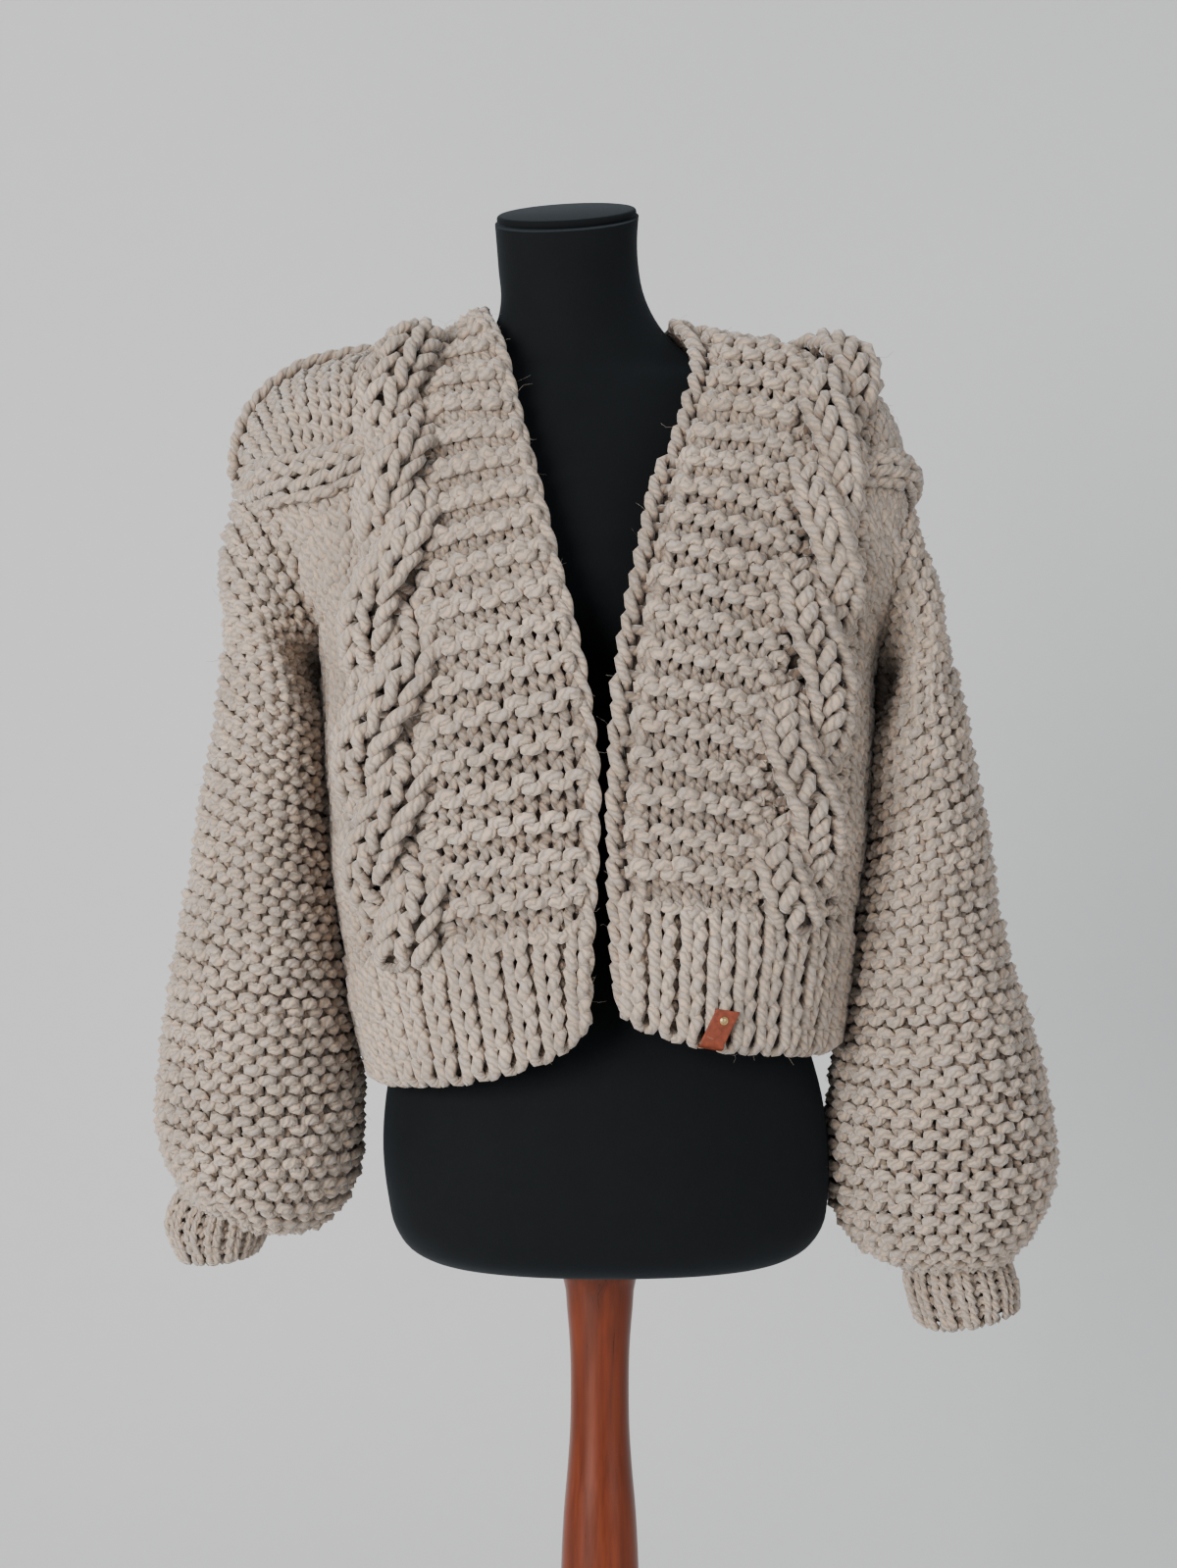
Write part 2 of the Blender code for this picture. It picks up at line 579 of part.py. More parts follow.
def form_section(ring):
    """A level's outline, squarer than an ellipse, with its own depth in front and behind."""
    turn = np.linspace(0.0, 2.0 * math.pi, FORM_SIDES, endpoint=False)
    power = 2.0 / ring.squareness
    across = np.sign(np.cos(turn)) * np.abs(np.cos(turn)) ** power
    deep = np.sign(np.sin(turn)) * np.abs(np.sin(turn)) ** power
    offset = ring.half_width * across
    y = np.where(deep < 0, ring.front, ring.back) * deep
    z = ring.z + ring.dip * y + ring.dip * NECK_TILT_SIDE / FORM[-1].dip * offset
    return np.stack([ring.x + offset, y, z], axis=1)


def add_form(collection):
    mesh = bmesh.new()
    rings = [[mesh.verts.new(co) for co in form_section(ring)] for ring in FORM]
    for lower, upper in zip(rings[:-1], rings[1:]):
        for j in range(FORM_SIDES):
            k = (j + 1) % FORM_SIDES
            mesh.faces.new([lower[j], lower[k], upper[k], upper[j]])
    mesh.faces.new(rings[0][::-1])
    mesh.faces.new(rings[-1])
    made = bpy.data.meshes.new("form_torso")
    mesh.to_mesh(made)
    mesh.free()
    shade_round(made)
    add_object("form_torso", made, "jersey", collection)


def add_neck_cap(collection):
    rim = form_section(FORM[-1])
    quarter = FORM_SIDES // 4
    right_to_left = Vector(rim[0] - rim[2 * quarter])
    front_to_back = Vector(rim[quarter] - rim[3 * quarter])
    normal = right_to_left.cross(front_to_back).normalized()
    side = right_to_left.normalized()
    centre = Vector(rim.mean(axis=0)) + normal * (CAP_THICKNESS / 2 + SEAM_GAP)
    cap = cylinder_object(
        "neck_cap", CAP_WIDTH / 2, CAP_THICKNESS, FORM_SIDES, "jersey", collection, CAP_DEPTH / CAP_WIDTH
    )
    axes = Matrix((side, normal.cross(side), normal)).transposed()
    cap.matrix_world = Matrix.Translation(centre) @ axes.to_4x4()
    round_edges(cap, CAP_THICKNESS * 0.4, segments=3)


def turned_object(name, profile, sides, finish, collection):
    """A solid of revolution. The profile runs from the top of the axis down to its foot."""
    made = bpy.data.meshes.new(name)
    profile = [(0.0, profile[0][1]), *profile, (0.0, profile[-1][1])]
    points = [(radius, 0.0, height) for radius, height in profile]
    made.from_pydata(points, [(i, i + 1) for i in range(len(points) - 1)], [])
    obj = add_object(name, made, finish, collection)
    screw = obj.modifiers.new("turned", "SCREW")
    screw.steps = screw.render_steps = sides
    screw.use_merge_vertices = True
    screw.merge_threshold = 0.00001
    screw.use_smooth_shade = True
    return obj


def add_stand(collection):
    pole = [(ring.radius, ring.z) for ring in POLE]
    turned_object("stand_pole", pole, POLE_SIDES, "varnished_wood", collection)
    turned_object("stand_base", base_profile(), BASE_SIDES, "varnished_wood", collection)


def base_profile():
    """A flat disc whose upper edge is a quarter round below a shallow slope."""
    turn = np.linspace(math.pi / 2, 0.0, BASE_EDGE_STEPS + 1)
    inner = BASE_RADIUS - BASE_EDGE
    rim_top = BASE_HEIGHT - BASE_SLOPE - BASE_EDGE
    rim = [(inner + BASE_EDGE * math.cos(a), rim_top + BASE_EDGE * math.sin(a)) for a in turn]
    return [(BASE_FLAT, BASE_HEIGHT), *rim, (BASE_RADIUS - BASE_FOOT, 0.0)]


def main():
    clear_scene()
    collection = bpy.data.collections.new(COLLECTION_NAME)
    bpy.context.scene.collection.children.link(collection)
    points, normals = garment_surfaces()
    add_body_panels(points, normals, collection)
    add_sleeves(points, normals, collection)
    add_label(points, normals, collection)
    add_form(collection)
    add_neck_cap(collection)
    add_stand(collection)


main()
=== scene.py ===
"""Looks of a chunky knit cardigan on a dress form: every strand of its yarn, the form and the stand."""

import math
from collections import namedtuple

import bmesh
import bpy
import numpy as np
from bpy.props import FloatProperty, FloatVectorProperty, IntProperty, PointerProperty
from mathutils import Matrix, Vector


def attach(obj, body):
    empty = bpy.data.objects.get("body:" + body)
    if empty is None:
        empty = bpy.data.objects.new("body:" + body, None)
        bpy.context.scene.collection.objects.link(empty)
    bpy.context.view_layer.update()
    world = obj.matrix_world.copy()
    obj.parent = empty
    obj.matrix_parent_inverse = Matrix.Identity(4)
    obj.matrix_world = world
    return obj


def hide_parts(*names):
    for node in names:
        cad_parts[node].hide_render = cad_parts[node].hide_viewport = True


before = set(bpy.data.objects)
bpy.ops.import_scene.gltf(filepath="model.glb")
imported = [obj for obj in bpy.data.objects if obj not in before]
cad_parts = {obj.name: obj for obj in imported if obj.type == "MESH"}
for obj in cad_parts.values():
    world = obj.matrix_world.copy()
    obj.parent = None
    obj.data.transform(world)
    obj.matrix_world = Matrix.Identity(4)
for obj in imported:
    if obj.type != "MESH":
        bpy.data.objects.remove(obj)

bl_info = {
    "name": "Knit cardigan on a dress form",
    "version": (1, 0, 0),
    "blender": (4, 5, 0),
    "location": "View3D > Sidebar > Cardigan",
    "description": "Builds the cardigan's knit, the dress form, its stand and a plain studio",
    "category": "Object",
}

BODY = "root"

# ---- shape of the cloth, as the solids have it, in metres -------------------------------------

FRONT_COLUMNS = 48  # facets from a front edge to the side seam
NECK_COLUMNS = 16  # facets along the back neck
NECK_CURVE = 0.7  # below 1, the back neck is flatter in its middle
ROWS_PER_LEVEL = 6  # rows of facets from one level of a table to the next
SLEEVE_ROWS_PER_RING = 4
ROW_STEPS = 240  # points of a row before it is spaced evenly
NECK_RISE_SHARE = 0.30  # the share of a row that climbs towards the neck


def table(row, *rows):
    """A table's rows, with the names of their values."""
    return tuple(row(*values) for values in rows)


# The front panels, a row for each level from the hem to the shoulder seam. "side" is a point of the
# side seam, or of the armhole above the underarm, and "edge" one of the open front edge. "bow" says
# how squarely the row turns the corner of the body, and "fall" how late its height drops or climbs
# to the side's. "rise" lifts the neck end of the row.
FrontLevel = namedtuple("FrontLevel", "side_x side_y side_z edge_x edge_y edge_z bow fall rise")

FRONT_RIGHT = table(
    FrontLevel,
    (-0.1620, 0.000, 0.936, -0.011, -0.143, 0.982, 2.3, 0.65, 0.0),
    (-0.1780, 0.000, 1.004, -0.008, -0.155, 1.046, 2.3, 1.50, 0.0),
    (-0.1870, 0.000, 1.062, -0.005, -0.160, 1.104, 2.2, 1.40, 0.0),
    (-0.1930, 0.000, 1.122, -0.006, -0.162, 1.172, 2.2, 1.30, 0.0),
    (-0.1970, 0.000, 1.184, -0.017, -0.158, 1.240, 2.2, 1.30, 0.0),
    (-0.2000, 0.000, 1.245, -0.034, -0.142, 1.306, 2.2, 1.40, 0.0),
    (-0.2090, -0.050, 1.282, -0.047, -0.118, 1.360, 2.3, 1.70, 0.0),
    (-0.2230, -0.064, 1.322, -0.059, -0.091, 1.407, 2.5, 2.10, 0.0),
    (-0.2440, -0.045, 1.356, -0.072, -0.059, 1.450, 2.7, 2.50, 0.010),
    (-0.2630, 0.000, 1.371, -0.0865, 0.000, 1.467, 2.7, 2.70, 0.028),
)
FRONT_LEFT = table(
    FrontLevel,
    (0.1690, 0.000, 0.958, 0.016, -0.143, 0.990, 2.3, 0.70, 0.0),
    (0.1800, 0.000, 1.032, 0.012, -0.154, 1.066, 2.3, 1.50, 0.0),
    (0.1860, 0.000, 1.080, 0.011, -0.159, 1.116, 2.2, 1.40, 0.0),
    (0.1910, 0.000, 1.131, 0.013, -0.161, 1.176, 2.2, 1.30, 0.0),
    (0.1950, 0.000, 1.186, 0.018, -0.157, 1.240, 2.2, 1.30, 0.0),
    (0.1990, 0.000, 1.240, 0.029, -0.142, 1.304, 2.2, 1.40, 0.0),
    (0.2065, -0.044, 1.272, 0.044, -0.119, 1.356, 2.4, 1.80, 0.0),
    (0.2085, -0.062, 1.311, 0.062, -0.091, 1.402, 2.7, 2.30, 0.0),
    (0.2160, -0.045, 1.338, 0.072, -0.060, 1.446, 2.8, 2.70, 0.004),
    (0.2225, 0.000, 1.352, 0.057, 0.000, 1.471, 2.8, 2.80, 0.014),
)

# The back panel at its middle, with the same levels.
BackLevel = namedtuple("BackLevel", "mid_x mid_y mid_z neck_half_width bow fall")

BACK = table(
    BackLevel,
    (0.004, 0.124, 0.946, 0.064, 2.3, 1.5),
    (0.001, 0.133, 1.024, 0.068, 2.3, 1.5),
    (-0.001, 0.133, 1.078, 0.070, 2.2, 1.5),
    (-0.003, 0.131, 1.136, 0.071, 2.2, 1.5),
    (-0.006, 0.130, 1.198, 0.072, 2.2, 1.5),
    (-0.009, 0.129, 1.262, 0.072, 2.2, 1.6),
    (-0.011, 0.125, 1.318, 0.072, 2.3, 2.0),
    (-0.013, 0.115, 1.372, 0.072, 2.5, 2.4),
    (-0.014, 0.101, 1.424, 0.072, 2.8, 2.8),
    (-0.015, 0.070, 1.474, 0.072, 2.8, 2.8),
)
RIB_LEVEL = 1  # the hem ribs end and the panels begin here
UNDERARM_LEVEL = 5

# A sleeve's rings from below the armhole to the wrist, then the cuff's. "outer" is the point
# furthest from the body and "inner" the one nearest to it, both as seen from the front.
SleeveRing = namedtuple("SleeveRing", "outer_x outer_z inner_x inner_z y half_depth")

SLEEVE_RIGHT = table(
    SleeveRing,
    (-0.2700, 1.3183, -0.2250, 1.2340, 0.000, 0.072),
    (-0.2675, 1.2555, -0.2090, 1.1850, 0.000, 0.078),
    (-0.2740, 1.1963, -0.2065, 1.1480, 0.000, 0.083),
    (-0.2840, 1.1378, -0.2030, 1.1000, 0.000, 0.087),
    (-0.2945, 1.0784, -0.1980, 1.0500, 0.000, 0.090),
    (-0.3035, 1.0192, -0.1925, 1.0000, 0.000, 0.093),
    (-0.3143, 0.9555, -0.1875, 0.9445, 0.000, 0.095),
    (-0.3183, 0.9046, -0.1857, 0.8954, 0.000, 0.095),
    (-0.3115, 0.8705, -0.1896, 0.8525, 0.000, 0.087),
    (-0.3065, 0.8600, -0.2060, 0.8300, 0.001, 0.070),
    (-0.3040, 0.8535, -0.2300, 0.8210, 0.002, 0.048),
    (-0.3035, 0.8465, -0.2530, 0.8230, 0.003, 0.032),
)
SLEEVE_LEFT = table(
    SleeveRing,
    (0.2350, 1.3000, 0.2280, 1.2230, 0.000, 0.071),
    (0.2475, 1.2459, 0.2070, 1.1700, 0.000, 0.079),
    (0.2600, 1.1973, 0.2035, 1.1350, 0.000, 0.084),
    (0.2710, 1.1403, 0.1990, 1.0950, 0.000, 0.088),
    (0.2823, 1.0797, 0.1940, 1.0500, 0.001, 0.091),
    (0.2926, 1.0201, 0.1890, 1.0019, 0.002, 0.093),
    (0.3118, 0.9592, 0.1840, 0.9488, 0.003, 0.095),
    (0.3268, 0.8950, 0.1785, 0.8850, 0.004, 0.097),
    (0.3268, 0.8500, 0.1785, 0.8400, 0.004, 0.092),
    (0.3150, 0.8200, 0.1960, 0.8120, 0.004, 0.076),
    (0.3030, 0.8050, 0.2150, 0.7990, 0.004, 0.053),
    (0.2975, 0.7980, 0.2315, 0.7955, 0.004, 0.034),
)
CUFF_RIGHT = table(
    SleeveRing,
    (-0.3165, 0.8240, -0.2540, 0.8110, 0.003, 0.035),
    (-0.3065, 0.7950, -0.2610, 0.7990, 0.002, 0.031),
)
CUFF_LEFT = table(
    SleeveRing,
    (0.3039, 0.7771, 0.2341, 0.7709, 0.004, 0.036),
    (0.3051, 0.7560, 0.2419, 0.7460, 0.003, 0.034),
)

# The form's sections from the flat underside to the neck. It leans a little to the right.
# "dip" is the fall of a section towards the front for each metre of depth.
FormRing = namedtuple("FormRing", "z x half_width front back squareness dip")

FORM = table(
    FormRing,
    (0.793, 0.0060, 0.1150, 0.082, 0.086, 2.30, 0.0),
    (0.797, 0.0060, 0.1340, 0.097, 0.100, 2.30, 0.0),
    (0.805, 0.0062, 0.1480, 0.107, 0.111, 2.30, 0.0),
    (0.819, 0.0066, 0.1580, 0.114, 0.118, 2.30, 0.0),
    (0.842, 0.0060, 0.1630, 0.118, 0.122, 2.25, 0.0),
    (0.875, 0.0044, 0.1650, 0.119, 0.122, 2.25, 0.0),
    (0.915, 0.0030, 0.1615, 0.114, 0.117, 2.25, 0.0),
    (0.960, 0.0012, 0.1510, 0.105, 0.107, 2.25, 0.0),
    (1.010, -0.0010, 0.1400, 0.096, 0.100, 2.25, 0.0),
    (1.065, -0.0034, 0.1300, 0.089, 0.093, 2.25, 0.0),
    (1.120, -0.0058, 0.1240, 0.088, 0.090, 2.25, 0.0),
    (1.175, -0.0082, 0.1280, 0.098, 0.090, 2.25, 0.0),
    (1.225, -0.0104, 0.1370, 0.114, 0.092, 2.25, 0.0),
    (1.270, -0.0124, 0.1460, 0.124, 0.095, 2.25, 0.0),
    (1.315, -0.0144, 0.1530, 0.118, 0.098, 2.20, 0.0),
    (1.355, -0.0160, 0.1580, 0.103, 0.098, 2.10, 0.0),
    (1.390, -0.0175, 0.1600, 0.086, 0.092, 2.00, 0.0),
    (1.418, -0.0184, 0.1520, 0.072, 0.080, 1.85, 0.0),
    (1.438, -0.0186, 0.1300, 0.062, 0.069, 1.70, 0.0),
    (1.453, -0.0184, 0.1010, 0.054, 0.057, 1.65, 0.0),
    (1.469, -0.0178, 0.0770, 0.050, 0.050, 1.75, 0.0),
    (1.486, -0.0172, 0.0610, 0.049, 0.045, 1.85, 0.04),
    (1.504, -0.0198, 0.0540, 0.050, 0.044, 1.95, 0.12),
    (1.530, -0.0234, 0.0520, 0.050, 0.044, 2.10, 0.24),
    (1.552, -0.0245, 0.0525, 0.050, 0.043, 2.20, 0.34),
    (1.565, -0.0245, 0.0535, 0.050, 0.043, 2.20, 0.40),
)

# The pole's profile from the top down.
PoleRing = namedtuple("PoleRing", "z radius")

POLE = table(
    PoleRing,
    (0.7927, 0.0290),
    (0.7810, 0.0290),
    (0.7760, 0.0270),
    (0.7550, 0.0245),
    (0.7250, 0.0222),
    (0.6950, 0.0217),
    (0.6650, 0.0222),
    (0.6350, 0.0242),
    (0.6050, 0.0268),
    (0.5650, 0.0288),
    (0.5200, 0.0294),
    (0.4400, 0.0280),
    (0.3400, 0.0250),
    (0.2400, 0.0222),
    (0.1500, 0.0210),
    (0.0900, 0.0232),
    (0.0700, 0.0270),
    (0.0600, 0.0330),
    (0.0480, 0.0370),
    (0.0263, 0.0380),
)


def evenly_spaced(points, count):
    """The curve through these points, as count + 1 points the same distance apart."""
    steps = np.linalg.norm(np.diff(points, axis=0), axis=1)
    along = np.concatenate([[0.0], np.cumsum(steps)])
    wanted = np.linspace(0.0, along[-1], count + 1)
    return np.stack([np.interp(wanted, along, points[:, axis]) for axis in range(3)], axis=1)


def bowed(share, bow):
    """Falls from 1 to 0 as a share goes from 0 to 1, later and more squarely for a higher bow."""
    return (1.0 - share**bow) ** (1.0 / bow)


def row_curve(inner, outer, level, rise=0.0):
    """A fine row from the middle of the garment out to its side, turning the corner of the body."""
    share = 1.0 - (1.0 - np.linspace(0.0, 1.0, ROW_STEPS + 1)) ** 2
    climb = rise * np.clip(1.0 - share / NECK_RISE_SHARE, 0.0, 1.0) ** 2
    x = inner[0] + (outer[0] - inner[0]) * share
    y = outer[1] + (inner[1] - outer[1]) * bowed(share, level.bow)
    z = outer[2] + (inner[2] - outer[2]) * bowed(share, level.fall) + climb
    return np.stack([x, y, z], axis=1)


def side_of(level):
    return np.array([level.side_x, level.side_y, level.side_z])


def front_row(level):
    edge = (level.edge_x, level.edge_y, level.edge_z)
    curve = row_curve(edge, side_of(level), level, level.rise)
    return evenly_spaced(curve, FRONT_COLUMNS)


def back_row(middle, right, left):
    """A row across the back from the right side to the left, with columns that end at the neck."""
    centre = np.array([middle.mid_x, middle.mid_y, middle.mid_z])
    shoulders = []
    neck_ends = []
    for level in (right, left):
        outer = side_of(level) * (1, -1, 1)
        curve = row_curve(centre, outer, middle)
        at_neck = np.searchsorted(np.abs(curve[:, 0] - middle.mid_x), middle.neck_half_width)
        shoulders.append(evenly_spaced(curve[at_neck:], FRONT_COLUMNS))
        neck_ends.append(curve[: at_neck + 1])
    neck = evenly_spaced(np.concatenate([neck_ends[0][::-1], neck_ends[1][1:]]), NECK_COLUMNS)
    return np.concatenate([shoulders[0][::-1], neck[1:-1], shoulders[1]])


def back_neck_row(middle, right_seam, left_seam):
    """The back's top row: both shoulder seams, as the fronts have them, and the neck edge."""
    turn = np.linspace(0.0, math.pi, NECK_COLUMNS + 1)[1:-1]
    start, end = right_seam[0], left_seam[0]
    share = (0.5 - 0.5 * np.cos(turn))[:, None]
    neck = start * (1.0 - share) + end * share
    neck[:, 1] += (middle.mid_y - neck[:, 1]) * np.sin(turn) ** NECK_CURVE
    neck[:, 2] += (middle.mid_z - neck[:, 2]) * np.sin(turn) ** NECK_CURVE
    return np.concatenate([right_seam[::-1], neck, left_seam])


def smooth_rows(rows, per_row):
    """A smooth surface through rows of points, as per_row steps between each two."""
    rows = np.asarray(rows)
    gaps = np.linalg.norm(np.diff(rows, axis=0), axis=2).mean(axis=1)
    knots = np.concatenate([[0.0], np.cumsum(gaps)])
    slopes = np.gradient(rows, knots, axis=0)
    made = [rows[0]]
    for k, gap in enumerate(gaps):
        for step in range(1, per_row + 1):
            t = step / per_row
            made.append(
                (2 * t**3 - 3 * t**2 + 1) * rows[k]
                + (t**3 - 2 * t**2 + t) * gap * slopes[k]
                + (3 * t**2 - 2 * t**3) * rows[k + 1]
                + (t**3 - t**2) * gap * slopes[k + 1]
            )
    return np.array(made)


def unit(vectors):
    return vectors / np.linalg.norm(vectors, axis=-1, keepdims=True)


def surface_normals(points, ring=False):
    """Unit normals of a grid of rows, which point out of the garment where rows run +X in front."""
    along = np.gradient(points, axis=0)
    if ring:
        across = np.roll(points, -1, axis=1) - np.roll(points, 1, axis=1)
    else:
        across = np.gradient(points, axis=1)
    return unit(np.cross(across, along))


def sleeve_ring(ring, count):
    """A ring of points from its inner side round by the front, the outer side and the back."""
    turn = np.linspace(0.0, 2.0 * math.pi, count, endpoint=False)[:, None]
    outer = np.array([ring.outer_x, ring.y, ring.outer_z])
    inner = np.array([ring.inner_x, ring.y, ring.inner_z])
    forward = np.array([0.0, -ring.half_depth, 0.0])
    return (inner + outer) / 2 + np.cos(turn) * (inner - outer) / 2 + np.sin(turn) * forward


def garment_surfaces():
    """Points and normals of every stretch of cloth, with shared values along each seam.

    Rows run up the body and down the sleeves. Columns run +X in front and -X behind.
    """
    top_rows = [front_row(FRONT_RIGHT[-1]), front_row(FRONT_LEFT[-1])]
    right = smooth_rows([front_row(level) for level in FRONT_RIGHT], ROWS_PER_LEVEL)
    left = smooth_rows([front_row(level) for level in FRONT_LEFT], ROWS_PER_LEVEL)
    back_rows = [back_row(*levels) for levels in zip(BACK[:-1], FRONT_RIGHT, FRONT_LEFT)]
    back_rows.append(back_neck_row(BACK[-1], *top_rows))
    back = smooth_rows(back_rows, ROWS_PER_LEVEL)

    # Below the armholes the back's sides take the fronts' points, so that both meet on one line.
    underarm = UNDERARM_LEVEL * ROWS_PER_LEVEL
    back[: underarm + 1, 0] = right[: underarm + 1, -1]
    back[: underarm + 1, -1] = left[: underarm + 1, -1]

    points = {"right": right[:, ::-1], "left": left, "back": back[:, ::-1]}
    normals = {name: surface_normals(grid) for name, grid in points.items()}

    for name, sleeve, cuff, side in (
        ("right", SLEEVE_RIGHT, CUFF_RIGHT, -1),
        ("left", SLEEVE_LEFT, CUFF_LEFT, 1),
    ):
        front_edge, back_edge = (0, -1) if side < 0 else (-1, 0)
        up_front = points[name][underarm:, front_edge]
        down_back = points["back"][underarm:, back_edge][::-1]
        armhole = np.concatenate([up_front, down_back[1:-1]])
        rings = [armhole] + [sleeve_ring(ring, len(armhole)) for ring in sleeve + cuff]
        grid = smooth_rows(rings, SLEEVE_ROWS_PER_RING)
        grid_normals = -side * surface_normals(grid, ring=True)

        side_normals = normals[name][:, front_edge]
        back_normals = normals["back"][:, back_edge]
        seam = slice(0, underarm + 1)
        side_normals[seam] = back_normals[seam] = unit(side_normals[seam] + back_normals[seam])

        top = len(up_front) - 1
        panel_ring = np.concatenate([side_normals[underarm:], back_normals[underarm:][::-1][1:-1]])
        grid_normals[0] = unit(panel_ring + grid_normals[0])
        side_normals[underarm:] = grid_normals[0][: top + 1]
        back_normals[underarm:] = np.append(grid_normals[0][top:], grid_normals[0][:1], axis=0)[::-1]
        points["sleeve_" + name] = grid
        normals["sleeve_" + name] = grid_normals

    share_shoulder_normals(normals)
    return points, normals


def share_shoulder_normals(normals):
    """The two fronts and the back take one normal at each point of the shoulder seams."""
    back_top = normals["back"][-1]
    right_top = normals["right"][-1]
    left_top = normals["left"][-1]
    inner = slice(1, None)
    right_seam = unit(right_top[inner] + back_top[::-1][: FRONT_COLUMNS + 1][inner])
    right_top[inner] = right_seam
    back_top[-FRONT_COLUMNS - 1 : -1] = right_seam[::-1]
    left_seam = unit(left_top[:-1] + back_top[: FRONT_COLUMNS + 1][::-1][:-1])
    left_top[:-1] = left_seam
    back_top[1 : FRONT_COLUMNS + 1] = left_seam[::-1]


# ---- cloth that can be read anywhere ----------------------------------------------------------


class Cloth:
    """A stretch of cloth, read at any share across and along it.

    Shares past 0 and 1 run on straight. Shares across go by its columns, or by its true width
    where "even" is set.
    """

    def __init__(self, points, normals, ring=False, even=False):
        if ring:
            points = np.concatenate([points, points[:, :1]], axis=1)
            normals = np.concatenate([normals, normals[:, :1]], axis=1)
        self.points = points
        self.normals = normals
        self.ring = ring
        gaps = np.linalg.norm(np.diff(points, axis=0), axis=2).mean(axis=1)
        self.length = gaps.sum()
        self.row_at = np.concatenate([[0.0], np.cumsum(gaps)]) / self.length
        self.column_at = np.linspace(0, 1, points.shape[1])
        if even:
            gaps = np.linalg.norm(np.diff(points, axis=1), axis=2).mean(axis=0)
            self.column_at = np.concatenate([[0.0], np.cumsum(gaps)]) / gaps.sum()

    def at(self, across, along):
        across, along = np.broadcast_arrays(across, along)
        rows, columns = self.points.shape[:2]
        if self.ring:
            across = across % 1.0
        over = along - np.clip(along, 0.0, 1.0)
        row = np.interp(along, self.row_at, np.arange(rows)) + over * (rows - 1)
        past = across - np.clip(across, 0.0, 1.0)
        column = np.interp(across, self.column_at, np.arange(columns)) + past * (columns - 1)
        i = np.clip(np.floor(row).astype(int), 0, rows - 2)
        j = np.clip(np.floor(column).astype(int), 0, columns - 2)
        u = (row - i)[..., None]
        v = (column - j)[..., None]
        read = []
        for grid in (self.points, self.normals):
            low = grid[i, j] * (1 - v) + grid[i, j + 1] * v
            high = grid[i + 1, j] * (1 - v) + grid[i + 1, j + 1] * v
            read.append(low * (1 - u) + high * u)
        return read[0], unit(read[1])

    def along_at_height(self, across, heights):
        """The share along the cloth at which it reaches these heights, at one share across."""
        column = int(round(across * (self.points.shape[1] - 1)))
        z = self.points[:, column, 2]
        order = np.argsort(z)
        return np.interp(heights, z[order], self.row_at[order])


def cloths():
    """The garment's panels by name.

    Across runs +X in front and -X behind. Along runs up the body and down a sleeve.
    """
    points, normals = garment_surfaces()
    rib = RIB_LEVEL * ROWS_PER_LEVEL
    made = {}
    for name, key in (("front_right", "right"), ("front_left", "left"), ("back", "back")):
        grid, grid_normals = points[key], normals[key]
        even = name == "back"
        made[name] = Cloth(grid[rib:], grid_normals[rib:], even=even)
        made["hem_rib_" + name] = Cloth(grid[: rib + 1], grid_normals[: rib + 1], even=even)
    wrist = len(SLEEVE_RIGHT) * SLEEVE_ROWS_PER_RING
    for side in ("right", "left"):
        grid, grid_normals = points["sleeve_" + side], normals["sleeve_" + side]
        made["sleeve_" + side] = Cloth(grid[: wrist + 1], grid_normals[: wrist + 1], ring=True)
        made["cuff_" + side] = Cloth(grid[wrist:], grid_normals[wrist:], ring=True)
    return made


EDGING_SHARES = (-0.5, -0.17, 0.17, 0.5)  # across a narrow cloth that wraps an edge
EDGING_OUT = 0.6  # how far that cloth reaches out and back, as shares of its width
EDGING_BACK = 0.4


def edging(line, normals, outward, width, bend):
    """A narrow cloth that wraps the edge of a panel, for a chain of stitches along it."""
    columns = []
    column_normals = []
    for share in EDGING_SHARES:
        turn = bend * share * math.pi
        out = outward * width * math.sin(turn) / bend * EDGING_OUT
        columns.append(line + out + normals * width * (math.cos(turn) - 1) * EDGING_BACK)
        column_normals.append(unit(normals * math.cos(turn) + outward * math.sin(turn)))
    return Cloth(np.stack(columns, axis=1), np.stack(column_normals, axis=1))


RIBBON_STEPS = 8  # rows of a ribbon's cloth from one point of its path to the next
RIBBON_COLUMNS = 5


def ribbon(cloth, path, width):
    """A narrow cloth laid on another along a path of shares across and along it."""
    path = np.array(path)
    smooth = smooth_rows(list(path[:, None]), RIBBON_STEPS)[:, 0]
    line, normals = cloth.at(smooth[:, 0], smooth[:, 1])
    side = unit(np.cross(np.gradient(line, axis=0), normals))
    offsets = np.linspace(-0.5, 0.5, RIBBON_COLUMNS)[None, :, None] * width
    points = line[:, None] + side[:, None] * offsets
    return Cloth(points, np.repeat(normals[:, None], RIBBON_COLUMNS, axis=1))


# ---- yarn -------------------------------------------------------------------------------------

# A stitch's shape, in metres where it isn't a share. "reach" is how far a loop's head rises from
# its row's middle, in rows. "lean" narrows the loop's neck, in stitches. "depth" is how far the
# strand runs before and behind the cloth's middle. "ridge" lifts the bumps of a garter row, and
# "rib" the knit columns of a rib, which also take "wide" times their share of the width. "fat"
# is the share of its thickness that the strand gains on a loop's legs, and "skew" how far its twist
# drags a loop's head to the side, in stitches.
Stitch = namedtuple("Stitch", "radius fat depth reach lean skew ridge rib wide loft jitter")
ROUND = math.radians(72)  # how far the sides of a rounded strip turn down

STEPS = 10  # points of a strand to a stitch
FINE_STEPS = 16  # the same where stitches are large
COARSE_STEPS = 8  # the same on the back
TO_LOOPS = 0.25  # how far those points move from a loop's legs to its head and foot
KNIT, PURL = 1, -1

